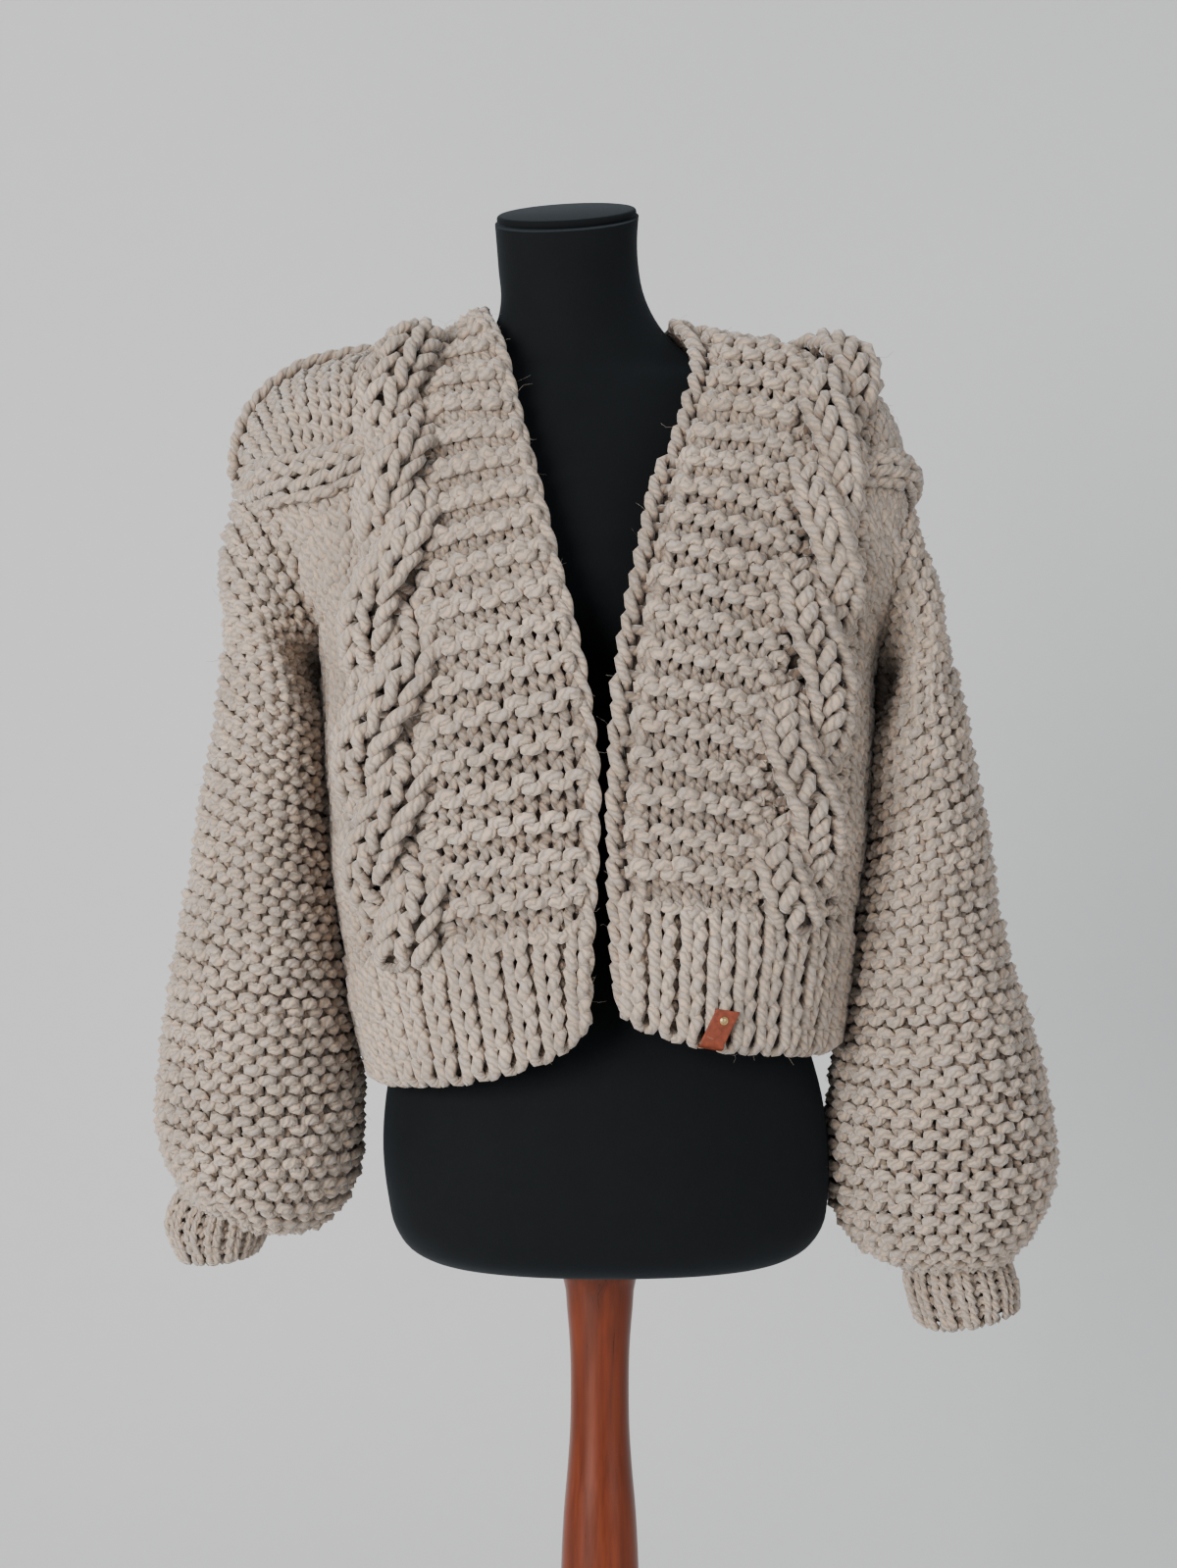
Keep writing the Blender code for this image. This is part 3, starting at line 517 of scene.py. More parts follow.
# How uneven the stitches are: across in stitches, along in rows, and deep in metres. Each is a
# sum of noise that differs from stitch to stitch and noise that changes over a few of them.
UNEVEN_ACROSS = 0.05
UNEVEN_ALONG = 0.07
UNEVEN_DEEP = 0.0009
SHARP_NOISE = 0.6
SOFT_NOISE = 0.8
SOFT_NOISE_SPAN = 3  # stitches and rows from one free value to the next
SELVEDGE = 0.3  # stitches at a strip's ends over which a strand goes behind the cloth
SELVEDGE_DEPTH = 1.6  # how far behind, in depths of the stitch


def stockinette(rows, columns):
    """A chart of knit stitches only."""
    return np.full((rows + 1, columns), KNIT, float)


def garter(rows, columns, first=KNIT):
    """A chart of knit and purl rows in turn."""
    kinds = stockinette(rows, columns)
    kinds[0 if first == PURL else 1 :: 2] = PURL
    return kinds


def one_by_one(rows, columns):
    """A chart of knit and purl columns in turn."""
    kinds = stockinette(rows, columns)
    kinds[:, 1::2] = PURL
    return kinds


def smooth_noise(random, shape):
    """Noise of these many rows and stitches that changes slowly over both."""
    rows, columns = shape
    rough = random.normal(size=(rows // SOFT_NOISE_SPAN + 4, columns // SOFT_NOISE_SPAN + 4))
    r = np.linspace(1, rough.shape[0] - 3, rows)
    c = np.linspace(1, rough.shape[1] - 3, columns)
    i, j = r.astype(int), c.astype(int)
    u = (r - i)[:, None]
    v = (c - j)[None, :]
    u, v = u * u * (3 - 2 * u), v * v * (3 - 2 * v)
    low = rough[i][:, j] * (1 - v) + rough[i][:, j + 1] * v
    high = rough[i + 1][:, j] * (1 - v) + rough[i + 1][:, j + 1] * v
    return low * (1 - u) + high * u


def along_strand(values, turn):
    """One value to a stitch, read along the strand with no steps between stitches."""
    columns = values.shape[1]
    place = np.clip(turn - 0.5, 0, columns - 1)
    j = np.minimum(place.astype(int), max(columns - 2, 0))
    k = np.minimum(j + 1, columns - 1)
    share = place - j
    return values[:, j] * (1 - share) + values[:, k] * share


def widened(turn, wide):
    """Moves the borders of stitches so that every first stitch of two is wider than the second."""
    pair = np.floor(turn / 2) * 2
    inside = turn - pair
    return pair + np.where(inside < 1, inside * wide, wide + (inside - 1) * (2 - wide))


def strands(
    cloth,
    kinds,
    stitch,
    seed,
    steps=STEPS,
    part=(0.0, 1.0),
    span=None,
    lift=None,
    crown=0.0,
    tilt=None,
    ring=False,
):
    """The courses of a knit strip as (points, normals, radii, relief) with a row for each course.

    kinds holds a knit or a purl for each row and column, and part the shares along the cloth that
    they run between. At a share along the cloth, span gives the strip's two borders across it, lift
    its height over the cloth, and tilt how far along its last border is ahead of its first. crown
    is the height of a rounded strip's middle over its borders.
    """
    random = np.random.default_rng(seed)
    rows, columns = kinds.shape[0] - 1, kinds.shape[1]
    turn = np.arange(columns * steps + 1) / steps
    column = np.minimum(turn.astype(int), columns - 1)
    phase = 2 * math.pi * turn
    phase = phase - TO_LOOPS * np.sin(2 * phase)
    before = column.copy()
    border = (np.arange(len(turn)) % steps == 0) & (turn > 0) & (turn < columns)
    before[border] -= 1
    if ring:
        before[0] = columns - 1
        column[-1] = 0
    turn = phase / (2 * math.pi)
    kinds = (kinds[:, column] + kinds[:, before]) / 2
    low, high = kinds[:-1], kinds[1:]
    up = (1 - np.cos(phase)) / 2
    mix = up * up * (3 - 2 * up)
    kind = low * (1 - mix) + high * mix
    mean = (low + high) / 2
    depth = -stitch.depth * np.cos(2 * phase) * kind - stitch.ridge * (kind - mean) + stitch.rib * mean

    def uneven(amount):
        noise = random.normal(size=(rows, columns)) * SHARP_NOISE
        noise = noise + smooth_noise(random, (rows, columns)) * SOFT_NOISE
        if ring:
            noise[:, -1] = noise[:, 0]
        return amount * stitch.jitter * along_strand(noise, turn)

    leaning = stitch.lean * np.sin(2 * phase)
    stitch_number = turn + leaning - stitch.skew * np.cos(phase) + uneven(UNEVEN_ACROSS)
    row = np.arange(rows)[:, None] + 0.5 - stitch.reach * np.cos(phase) + uneven(UNEVEN_ALONG)
    depth = depth + uneven(UNEVEN_DEEP)
    share = widened(stitch_number, stitch.wide) / (columns + (columns % 2) * (stitch.wide - 1))
    if not ring:
        end = np.minimum(turn, columns - turn)
        depth = depth - SELVEDGE_DEPTH * stitch.depth * np.clip(1 - end / SELVEDGE, 0, 1)
    # The height that the wool's painted shade reads: without a cable's lift and crown, so that only the
    # depth between stitches is shaded.
    relief = depth + stitch.loft
    radii = stitch.radius * (1 + stitch.fat * np.abs(np.sin(phase)) ** 3) + np.zeros_like(depth)
    if crown:
        bend = (2 * np.clip(share, 0, 1) - 1) * ROUND
        depth = depth + crown * (np.cos(bend) - math.cos(ROUND)) / (1 - math.cos(ROUND))
        share = 0.5 + 0.5 * np.sin(bend) / math.sin(ROUND)
    along = part[0] + (part[1] - part[0]) * row / rows
    if lift is not None:
        depth = depth + lift(along)
    if span is None:
        across = share
    else:
        first, last = span(along)
        across = first + (last - first) * share
    if tilt is not None:
        along = along + tilt(along) * (share - 0.5)
    points, normals = cloth.at(across, along)
    return points + normals * (depth + stitch.loft)[..., None], normals, radii, relief


def tube_rings(points, normals, radius, sides):
    """Rings of points about strands, with the distance along each strand."""
    along = unit(np.gradient(points, axis=1))
    side = unit(np.cross(along, normals))
    top = np.cross(side, along)
    angle = np.arange(sides) * 2 * math.pi / sides
    radius = np.broadcast_to(radius, points.shape[:2])[..., None, None]
    ring = top[..., None, :] * np.cos(angle)[:, None] + side[..., None, :] * np.sin(angle)[:, None]
    steps = np.linalg.norm(np.diff(points, axis=1), axis=2)
    length = np.concatenate([np.zeros((len(points), 1)), np.cumsum(steps, axis=1)], axis=1)
    return points[..., None, :] + radius * ring, length


YARN_TURN = 0.017  # length of one turn of the plies
FIRST_TURN = 9  # the most turns by which a strand's map starts later than another's
THICK_SPAN = 7  # points of a strand from one free thickness to the next
THICK_CHANGE = 0.07  # how much a strand's thickness changes, as a share of it
THICK_SEED = 7919  # keeps those thicknesses apart from the stitches' own noise


def along_line(line, normals, count):
    """A line and its normals, read again at even spacing."""
    at = np.concatenate([[0.0], np.cumsum(np.linalg.norm(np.diff(line, axis=0), axis=1))])
    even = np.linspace(0, at[-1], count)
    both = np.concatenate([line, normals], axis=1)
    read = np.stack([np.interp(even, at, column) for column in both.T], axis=1)
    return read[:, :3], unit(read[:, 3:])


class YarnMesh:
    """Gathers strands into one mesh of closed tubes.

    Its UV map holds the plies' turn, and "relief" a point's height over the cloth's middle, from which
    the wool's colour gets its painted shade.
    """

    def __init__(self):
        self.vertices, self.loops, self.sizes, self.uvs, self.relief = [], [], [], [], []
        self.count = 0

    def add(self, points, normals, radius, relief, sides, seed):
        random = np.random.default_rng(seed + THICK_SEED)
        courses, length = points.shape[:2]
        changes = max(length // THICK_SPAN, 2)
        thick = along_strand(random.normal(size=(courses, changes)), np.linspace(0, changes, length))
        radius = radius * (1 + THICK_CHANGE * thick)
        rings, distance = tube_rings(points, normals, radius, sides)
        self.vertices.append(rings.reshape(-1, 3))
        # A ring's top reads higher than its underside, so the painted shade darkens the side of a strand
        # that faces the cloth.
        high = radius[..., None] * np.cos(np.arange(sides) * 2 * math.pi / sides)
        self.relief.append((np.broadcast_to(relief, radius.shape)[..., None] + high).reshape(-1))
        start = self.count + np.arange(courses)[:, None, None] * length * sides
        ring = start + np.arange(length - 1)[None, :, None] * sides
        s = np.arange(sides)[None, None, :]
        t = (s + 1) % sides
        corners = (ring + s, ring + t, ring + sides + t, ring + sides + s)
        quads = np.stack(np.broadcast_arrays(*corners), axis=-1)
        self.loops.append(quads.reshape(-1))
        self.sizes.append(np.full(quads.size // 4, 4))
        v = distance / YARN_TURN + random.uniform(0, FIRST_TURN, size=(courses, 1))
        low, high = v[:, :-1, None], v[:, 1:, None]
        u = (np.arange(sides) / sides)[None, None, :]
        w = u + 1 / sides
        corners = ((u, low), (w, low), (w, high), (u, high))
        uv = [np.stack(np.broadcast_arrays(*corner), axis=-1) for corner in corners]
        self.uvs.append(np.stack(uv, axis=-2).reshape(-1))
        first = start[:, 0] + np.arange(sides)[::-1]
        last = start[:, 0] + (length - 1) * sides + np.arange(sides)
        caps = np.concatenate([first, last])
        self.loops.append(caps.reshape(-1))
        self.sizes.append(np.full(len(caps), sides))
        self.uvs.append(np.zeros(caps.size * 2))
        self.count += rings.size // 3

    def made(self, name):
        mesh = bpy.data.meshes.new(name)
        vertices = np.concatenate(self.vertices)
        loops = np.concatenate(self.loops)
        sizes = np.concatenate(self.sizes)
        mesh.vertices.add(len(vertices))
        mesh.vertices.foreach_set("co", vertices.reshape(-1).astype(np.float32))
        mesh.loops.add(len(loops))
        mesh.loops.foreach_set("vertex_index", loops.astype(np.int32))
        mesh.polygons.add(len(sizes))
        starts = np.concatenate([[0], np.cumsum(sizes)[:-1]])
        mesh.polygons.foreach_set("loop_start", starts.astype(np.int32))
        mesh.update(calc_edges=True)
        relief = mesh.attributes.new("relief", "FLOAT", "POINT")
        relief.data.foreach_set("value", np.concatenate(self.relief).astype(np.float32))
        uv = mesh.uv_layers.new(name="yarn")
        uv.data.foreach_set("uv", np.concatenate(self.uvs).astype(np.float32))
        mesh.shade_smooth()
        mesh.validate()
        return mesh


# A rope of two strands: their radius, how far each lies from its middle, and the length of a turn.
Rope = namedtuple("Rope", "radius twist lay")
ROPE_STEPS = 12  # points of a strand to a turn of its rope
ROPE_FLAT = 0.7  # a rope's height, as a share of its width
# the height that the wool's painted shade reads for a rope's middle
ROPE_SHADE_RELIEF = 0.005


def add_rope(mesh, line, normals, rope, sides, seed):
    """Two strands laid round each other along a seam or an edge."""
    length = np.linalg.norm(np.diff(line, axis=0), axis=1).sum()
    line, normals = along_line(line, normals, int(length / rope.lay * ROPE_STEPS))
    side = unit(np.cross(np.gradient(line, axis=0), normals))
    angle = np.linspace(0, 2 * math.pi * round(length / rope.lay), len(line))
    for half in (0.0, math.pi):
        across, out = np.cos(angle + half)[:, None], np.sin(angle + half)[:, None]
        points = line + side * across * rope.twist + normals * out * rope.twist * ROPE_FLAT
        relief = ROPE_SHADE_RELIEF + (out[:, 0] * rope.twist)[None]
        radii = np.full(relief.shape, rope.radius)
        mesh.add(points[None], normals[None], radii, relief, sides, seed + int(half))


HAIR_LENGTH = 0.014
HAIR_SHORTEST = 0.35  # as a share of that length
HAIR_RADIUS = 0.0001
HAIR_ROOT = 0.0005  # how deep it starts in its strand
HAIR_STRAY = 0.75  # how far it turns off the strand's normal
HAIR_BEND = (0.45, 0.12)  # shares of its length, out and sideways, up to its bend and past it
HAIR_TIP = (0.25, 0.40)
# the height that the wool's painted shade reads for a hair, high enough that hairs get no painted shade
HAIR_SHADE_RELIEF = 0.012
HAIR_SIDES = 3


def add_hairs(mesh, roots, normals, count, seed):
    """Loose fibres that leave the wool in curls, rooted on the strands."""
    random = np.random.default_rng(seed)
    roots, normals = roots.reshape(-1, 3), normals.reshape(-1, 3)
    pick = random.integers(0, len(roots), count)
    root, normal = roots[pick], normals[pick]
    out = normal * random.uniform(0.1, 1.0, size=(count, 1))
    out = unit(out + random.normal(size=(count, 3)) * HAIR_STRAY)
    curl = unit(np.cross(out, random.normal(size=(count, 3))))
    reach = HAIR_LENGTH * random.uniform(HAIR_SHORTEST, 1.0, size=(count, 1))
    bend = root + (out * HAIR_BEND[0] + curl * HAIR_BEND[1]) * reach
    tip = bend + (out * HAIR_TIP[0] + curl * HAIR_TIP[1]) * reach
    points = np.stack([root - normal * HAIR_ROOT, bend, tip], axis=1)
    radii = np.full(points.shape[:2], HAIR_RADIUS)
    mesh.add(points, np.repeat(normal[:, None], 3, axis=1), radii, HAIR_SHADE_RELIEF, HAIR_SIDES, seed)


# ---- objects ----------------------------------------------------------------------------------


def add_piece(name, mesh, material, replaces=()):
    """Puts a mesh in the scene as a piece of the part, in place of the solids that it replaces."""
    mesh.materials.append(material)
    obj = bpy.data.objects.new(name, mesh)
    bpy.context.scene.collection.objects.link(obj)
    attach(obj, BODY)
    if replaces:
        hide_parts(*replaces)
    return obj


def made_mesh(name, mesh, crease):
    """The finished mesh, with smooth faces and edges sharp past an angle."""
    made = bpy.data.meshes.new(name)
    mesh.to_mesh(made)
    mesh.free()
    made.shade_smooth()
    made.set_sharp_from_angle(angle=crease)
    return made


# Painted shade shells: dark closed shells behind the strands that paint the shade between them.
SHADE_SHELL_OUT = -0.0035  # the painted shade shell's two faces, from the cloth's middle
SHADE_SHELL_IN = -0.0050
FRONT_SHADE_SHELL = (24, 30)  # a painted shade shell's facets across and along
BACK_SHADE_SHELL = (48, 30)
SLEEVE_SHADE_SHELL = (36, 40)
CUFF_SHADE_SHELL_COLUMNS = 24
RIB_SHADE_SHELL_ROWS = 6
CREASE = math.radians(50)  # edges that turn more than this are shaded sharp


def painted_shade_shell(node, columns, rows, slot):
    """A thin closed shell on its solid's form behind the strands of one panel, dark to paint the shade
    between them.
    """
    cloth = panel(node)
    across, along = np.meshgrid(np.linspace(0, 1, columns + 1), np.linspace(0, 1, rows + 1))
    if cloth.ring:
        across, along = across[:, :-1], along[:, :-1]
    points, normals = cloth.at(across, along)
    count = points.shape[1]
    mesh = bmesh.new()
    outer = [mesh.verts.new(co) for co in (points + normals * SHADE_SHELL_OUT).reshape(-1, 3)]
    inner = [mesh.verts.new(co) for co in (points + normals * SHADE_SHELL_IN).reshape(-1, 3)]
    turns = count if cloth.ring else count - 1
    for i in range(rows):
        for j in range(turns):
            k = (j + 1) % count
            corners = (i * count + j, i * count + k, (i + 1) * count + k, (i + 1) * count + j)
            mesh.faces.new([outer[c] for c in corners])
            mesh.faces.new([inner[c] for c in reversed(corners)])
    edges = [[(i, j), (i, (j + 1) % count)] for i in (0, rows) for j in range(turns)]
    if not cloth.ring:
        edges += [[(i, j), (i + 1, j)] for i in range(rows) for j in (0, count - 1)]
    for (i, j), (k, m) in edges:
        a, b = i * count + j, k * count + m
        mesh.faces.new([outer[a], outer[b], inner[b], inner[a]])
    bmesh.ops.recalc_face_normals(mesh, faces=mesh.faces)
    name = "lining_" + node
    return add_piece(name, made_mesh(name, mesh, CREASE), painted_shade(), (node,))


# ---- materials --------------------------------------------------------------------------------


class Graph:
    """Adds nodes to a node tree. A node's inputs take either values or another node's outputs."""

    def __init__(self, tree):
        self.tree = tree

    def fill(self, node, inputs):
        for name, value in dict(inputs).items():
            if isinstance(value, bpy.types.NodeSocket):
                self.tree.links.new(value, node.inputs[name])
            else:
                node.inputs[name].default_value = value
        return node

    def node(self, kind, inputs=(), **settings):
        node = self.tree.nodes.new(kind)
        for name, value in settings.items():
            setattr(node, name, value)
        return self.fill(node, inputs)

    def group(self, tree, inputs=()):
        return self.node("ShaderNodeGroup", inputs, node_tree=tree).outputs

    def math(self, operation, a, b=0.0, c=0.0):
        return self.node("ShaderNodeMath", {0: a, 1: b, 2: c}, operation=operation).outputs[0]

    def weighted(self, a, a_weight, b, b_weight=1.0):
        """The sum of two values, each times its weight."""
        a, b = self.math("MULTIPLY", a, a_weight), self.math("MULTIPLY", b, b_weight)
        return self.math("ADD", a, b)

    def spread(self, value, low, high, to_low=0.0, to_high=1.0):
        """A value's range from low to high, drawn out to another range and held to it."""
        inputs = {"Value": value, "From Min": low, "From Max": high, "To Min": to_low, "To Max": to_high}
        return self.node("ShaderNodeMapRange", inputs).outputs["Result"]

    def where(self):
        """Places in the object's own frame, in metres."""
        return self.node("ShaderNodeTexCoord").outputs["Object"]

    def drawn_out(self, squeeze):
        """The same with heights squeezed, so that a pattern on them is drawn out upwards."""
        parts = self.node("ShaderNodeSeparateXYZ", {"Vector": self.where()}).outputs
        inputs = {"X": parts["X"], "Y": parts["Y"], "Z": self.math("MULTIPLY", parts["Z"], squeeze)}
        return self.node("ShaderNodeCombineXYZ", inputs).outputs["Vector"]

    def noise(self, vector, scale, detail=3.0, roughness=0.5):
        inputs = {"Vector": vector, "Scale": scale, "Detail": detail, "Roughness": roughness}
        return self.node("ShaderNodeTexNoise", inputs).outputs["Fac"]

    def mix(self, share, a, b, blend="MIX"):
        inputs = {0: share, 6: a, 7: b}
        return self.node("ShaderNodeMix", inputs, data_type="RGBA", blend_type=blend).outputs[2]

    def tones(self, share, colour, dark, light):
        """A colour from dark to light, both as multiples of it."""
        return self.mix(share, rgba(colour, dark), rgba(colour, light))

    def bump(self, height, strength, distance):
        inputs = {"Height": height, "Strength": strength, "Distance": distance}
        return self.node("ShaderNodeBump", inputs).outputs["Normal"]


def rgba(colour, times=1.0):
    return (*(c * times for c in colour), 1.0)


def new_group(name, inputs, outputs):
    """A node group of plain numbers, as its graph, the outputs of its input node and its end."""
    tree = bpy.data.node_groups.new(name, "ShaderNodeTree")
    for socket, value in inputs.items():
        made = tree.interface.new_socket(socket, in_out="INPUT", socket_type="NodeSocketFloat")
        made.default_value = value
    for socket in outputs:
        tree.interface.new_socket(socket, in_out="OUTPUT", socket_type="NodeSocketFloat")
    graph = Graph(tree)
    return graph, graph.node("NodeGroupInput").outputs, graph.node("NodeGroupOutput")


SHADE_RELIEF_RANGE = (-0.0005, 0.0105)  # heights over which the wool's painted shade fades out, from the deepest yarn that is seen to the yarn on top


def plied_yarn_group():
    """Plies that turn about a strand, with the fine fibres along them, from the strand's own map, and
    the painted shade of its depth, from its relief.
    """
    name = "plied_yarn"
    if name in bpy.data.node_groups:
        return bpy.data.node_groups[name]
    outputs = ("Height", "Groove", "Streak", "Marl", "Shade")
    graph, given, out = new_group(name, {"Plies": 3.0, "Fibres": 0.5}, outputs)
    where = graph.where()
    uv = graph.node("ShaderNodeUVMap", uv_map="yarn").outputs["UV"]
    parts = graph.node("ShaderNodeSeparateXYZ", {"Vector": uv}).outputs
    around, along = parts["X"], parts["Y"]
    drift = graph.noise(where, scale=130.0, detail=2.0)
    turned = graph.math("MULTIPLY_ADD", drift, 0.5, graph.math("ADD", around, along))

    # A ply's height goes round as a wave, a little narrower in its grooves.
    phase = graph.math("MULTIPLY", turned, given["Plies"])
    wave = graph.math("SINE", graph.math("MULTIPLY", phase, math.pi))
    ply = graph.math("POWER", graph.math("ABSOLUTE", wave), 1.3)

    # One turn of marl takes all the plies in, so they differ in colour.
    marl = graph.math("MULTIPLY", graph.math("MULTIPLY_ADD", drift, 1.5, turned), 2 * math.pi)
    marl = graph.math("SINE", marl)

    # Streaks run along the plies, and the fuzz over them doesn't.
    streaks = {"X": graph.math("MULTIPLY", turned, 26.0), "Y": graph.math("MULTIPLY", along, 2.2)}
    streaks = graph.node("ShaderNodeCombineXYZ", streaks).outputs["Vector"]
    streak = graph.noise(streaks, scale=1.0, detail=4.0, roughness=0.65)
    fuzz = graph.noise(where, scale=420.0, detail=4.0, roughness=0.7)
    streak = graph.weighted(streak, 0.5, fuzz, 0.5)
    fibres = graph.math("MULTIPLY", streak, given["Fibres"])

    # Painted shade: the wool's colour darkens fast in the depth between stitches and slowly near the
    # top.
    relief = graph.node("ShaderNodeAttribute", attribute_name="relief").outputs["Fac"]
    shade = graph.spread(relief, *SHADE_RELIEF_RANGE)
    results = {
        "Height": graph.math("ADD", ply, fibres),
        "Groove": graph.math("SUBTRACT", 1.0, ply),
        "Streak": streak,
        "Marl": graph.math("MULTIPLY_ADD", marl, 0.5, 0.5),
        "Shade": graph.math("MULTIPLY", shade, graph.math("SUBTRACT", 2.0, shade)),
    }
    graph.fill(out, results)
    return graph.tree


FINER_TONE = 9.0  # how much finer the second noise of an uneven tone is


def uneven_tone_group():
    """Slow uneven tone over a surface, around zero."""
    name = "uneven_tone"
    if name in bpy.data.node_groups:
        return bpy.data.node_groups[name]
    graph, given, out = new_group(name, {"Scale": 9.0}, ("Tone",))
    where = graph.where()
    slow = graph.noise(where, given["Scale"], detail=2.0)
    fast = graph.noise(where, graph.math("MULTIPLY", given["Scale"], FINER_TONE), detail=2.0)
    tone = graph.weighted(slow, 0.6, fast, 0.4)
    graph.fill(out, {"Tone": graph.math("SUBTRACT", tone, 0.5)})
    return graph.tree


def new_material(name, roughness, sockets):
    material = bpy.data.materials.new(name)
    material.use_nodes = True
    graph = Graph(material.node_tree)
    shader = material.node_tree.nodes["Principled BSDF"]
    graph.fill(shader, {"Roughness": roughness, **sockets})
    return material, graph, shader


WARM_PLY = (1.10, 1.0, 0.92)  # the yarn's plies differ a little in colour
COOL_PLY = (0.87, 0.90, 0.95)
DEEP_WOOL_SHADE = (0.27, 0.235, 0.215)  # painted shade: the wool's colour in the depth between stitches
UNSHADED_WOOL = (1.0, 1.0, 1.0)
PLY_GROOVE_SHADE = 0.64  # painted shade in the grooves between its plies, as a share of the wool's colour


def wool_material(name, colour):
    """Plied wool: tone follows the plies and fibres, with painted shade in the grooves between plies and
    in the depth between stitches, and the light catches its halo as sheen.
    """
    if name in bpy.data.materials:
        return bpy.data.materials[name]
    sockets = {
        "Sheen Weight": 0.45,
        "Sheen Roughness": 0.5,
        "Sheen Tint": (1.0, 0.95, 0.9, 1.0),
        "Specular IOR Level": 0.15,
    }
    material, graph, shader = new_material(name, 0.92, sockets)
    yarn = graph.group(plied_yarn_group())
    tone = graph.group(uneven_tone_group(), {"Scale": 14.0})["Tone"]
    shade = graph.spread(graph.weighted(tone, 0.9, yarn["Streak"]), low=0.31, high=0.69)
    plain = graph.tones(shade, colour, dark=0.74, light=1.30)
    marl = graph.mix(yarn["Marl"], rgba(WARM_PLY), rgba(COOL_PLY))
    plain = graph.mix(1.0, plain, marl, "MULTIPLY")
    # Painted shade: darker in the grooves between plies, and in the depth between stitches.
    groove_shade = graph.spread(yarn["Groove"], low=0.3, high=1.0)
    groove_shaded = graph.mix(groove_shade, plain, rgba(colour, PLY_GROOVE_SHADE))
    deep = graph.mix(yarn["Shade"], rgba(DEEP_WOOL_SHADE), rgba(UNSHADED_WOOL))
    results = {
        "Base Color": graph.mix(1.0, groove_shaded, deep, "MULTIPLY"),
        "Normal": graph.bump(yarn["Height"], strength=0.7, distance=0.0011),
    }
    graph.fill(shader, results)
    return material


def shade_shell_material(name, colour):
    """Painted shade between the strands: dark wool with a loose grain of fibres."""
    if name in bpy.data.materials:
        return bpy.data.materials[name]
    sockets = {"Sheen Weight": 0.1, "Specular IOR Level": 0.1}
    material, graph, shader = new_material(name, 0.95, sockets)
    grain = graph.noise(graph.where(), scale=260.0, detail=4.0, roughness=0.6)
    results = {
        "Base Color": graph.tones(grain, colour, dark=0.5, light=1.3),
        "Normal": graph.bump(grain, strength=0.6, distance=0.002),
    }
    graph.fill(shader, results)
    return material


def jersey_material(colour):
    """Fine black jersey, its rows of stitches closer than its columns."""
    sockets = {
        "Sheen Weight": 0.04,
        "Sheen Roughness": 0.5,
        "Sheen Tint": (0.7, 0.85, 1.0, 1.0),
        "Specular IOR Level": 0.12,
    }
    material, graph, shader = new_material("black_jersey", 0.85, sockets)
    stitches = graph.noise(graph.drawn_out(0.5), scale=900.0, detail=2.0)
    tone = graph.group(uneven_tone_group(), {"Scale": 6.0})["Tone"]
    share = graph.spread(graph.weighted(stitches, 0.5, tone), low=0.0, high=0.5)
    results = {
        "Base Color": graph.tones(share, colour, dark=0.75, light=1.3),
        "Normal": graph.bump(stitches, strength=0.35, distance=0.0006),
    }
    graph.fill(shader, results)
    return material


def wood_material(colour):
    """Turned wood under gloss varnish, its grain drawn out along the pole."""
    sockets = {"Coat Weight": 0.15, "Coat Roughness": 0.2, "Specular IOR Level": 0.25}
    material, graph, shader = new_material("varnished_wood", 0.32, sockets)
    where = graph.drawn_out(0.06)
    rings = graph.noise(where, scale=14.0, detail=2.0)
    grain = graph.noise(where, scale=160.0, detail=4.0, roughness=0.6)
    share = graph.spread(graph.weighted(rings, 0.5, grain, 0.5), low=0.36, high=0.64)
    results = {
        "Base Color": graph.tones(share, colour, dark=0.55, light=1.35),
        "Roughness": graph.spread(grain, low=0.3, high=0.7, to_low=0.26, to_high=0.42),
        "Normal": graph.bump(grain, strength=0.12, distance=0.0006),
    }
    graph.fill(shader, results)
    return material


def leather_material(colour):
    """Bare leather with fine pores, worn unevenly."""
    material, graph, shader = new_material("plain_leather", 0.55, {"Specular IOR Level": 0.35})
    where = graph.where()
    pores = graph.node("ShaderNodeTexVoronoi", {"Vector": where, "Scale": 1400.0})
    wear = graph.noise(where, scale=240.0)
    height = graph.math("ADD", pores.outputs["Distance"], wear)
    share = graph.spread(wear, low=0.3, high=0.7)
    results = {
        "Base Color": graph.tones(share, colour, dark=0.7, light=1.35),
        "Normal": graph.bump(height, strength=0.5, distance=0.0004),
    }
    graph.fill(shader, results)
    return material


def brass_material(colour):
    """Aged brass, duller where it is darker."""
    material, graph, shader = new_material("aged_brass", 0.34, {"Metallic": 1.0})
    wear = graph.noise(graph.where(), scale=700.0)
    results = {
        "Base Color": graph.tones(wear, colour, dark=0.6, light=1.5),
        "Roughness": graph.spread(wear, low=0.3, high=0.7, to_low=0.25, to_high=0.5),
    }
    graph.fill(shader, results)
    return material


def wall_material(colour):
    """Pale plaster. Only its front shows, so the part can be looked at from behind."""
    material, graph, shader = new_material("pale_wall", 0.9, {"Specular IOR Level": 0.1})
    where = graph.where()
    plaster = graph.noise(where, scale=40.0, detail=4.0)
    slow = graph.noise(where, scale=0.8, detail=1.0)
    share = graph.spread(graph.weighted(plaster, 0.3, slow, 0.7), low=0.3, high=0.7)
    behind = graph.node("ShaderNodeNewGeometry").outputs["Backfacing"]
    results = {
        "Base Color": graph.tones(share, colour, dark=0.97, light=1.03),
        "Normal": graph.bump(plaster, strength=0.08, distance=0.002),
        "Alpha": graph.math("SUBTRACT", 1.0, behind),
    }
    graph.fill(shader, results)
    return material


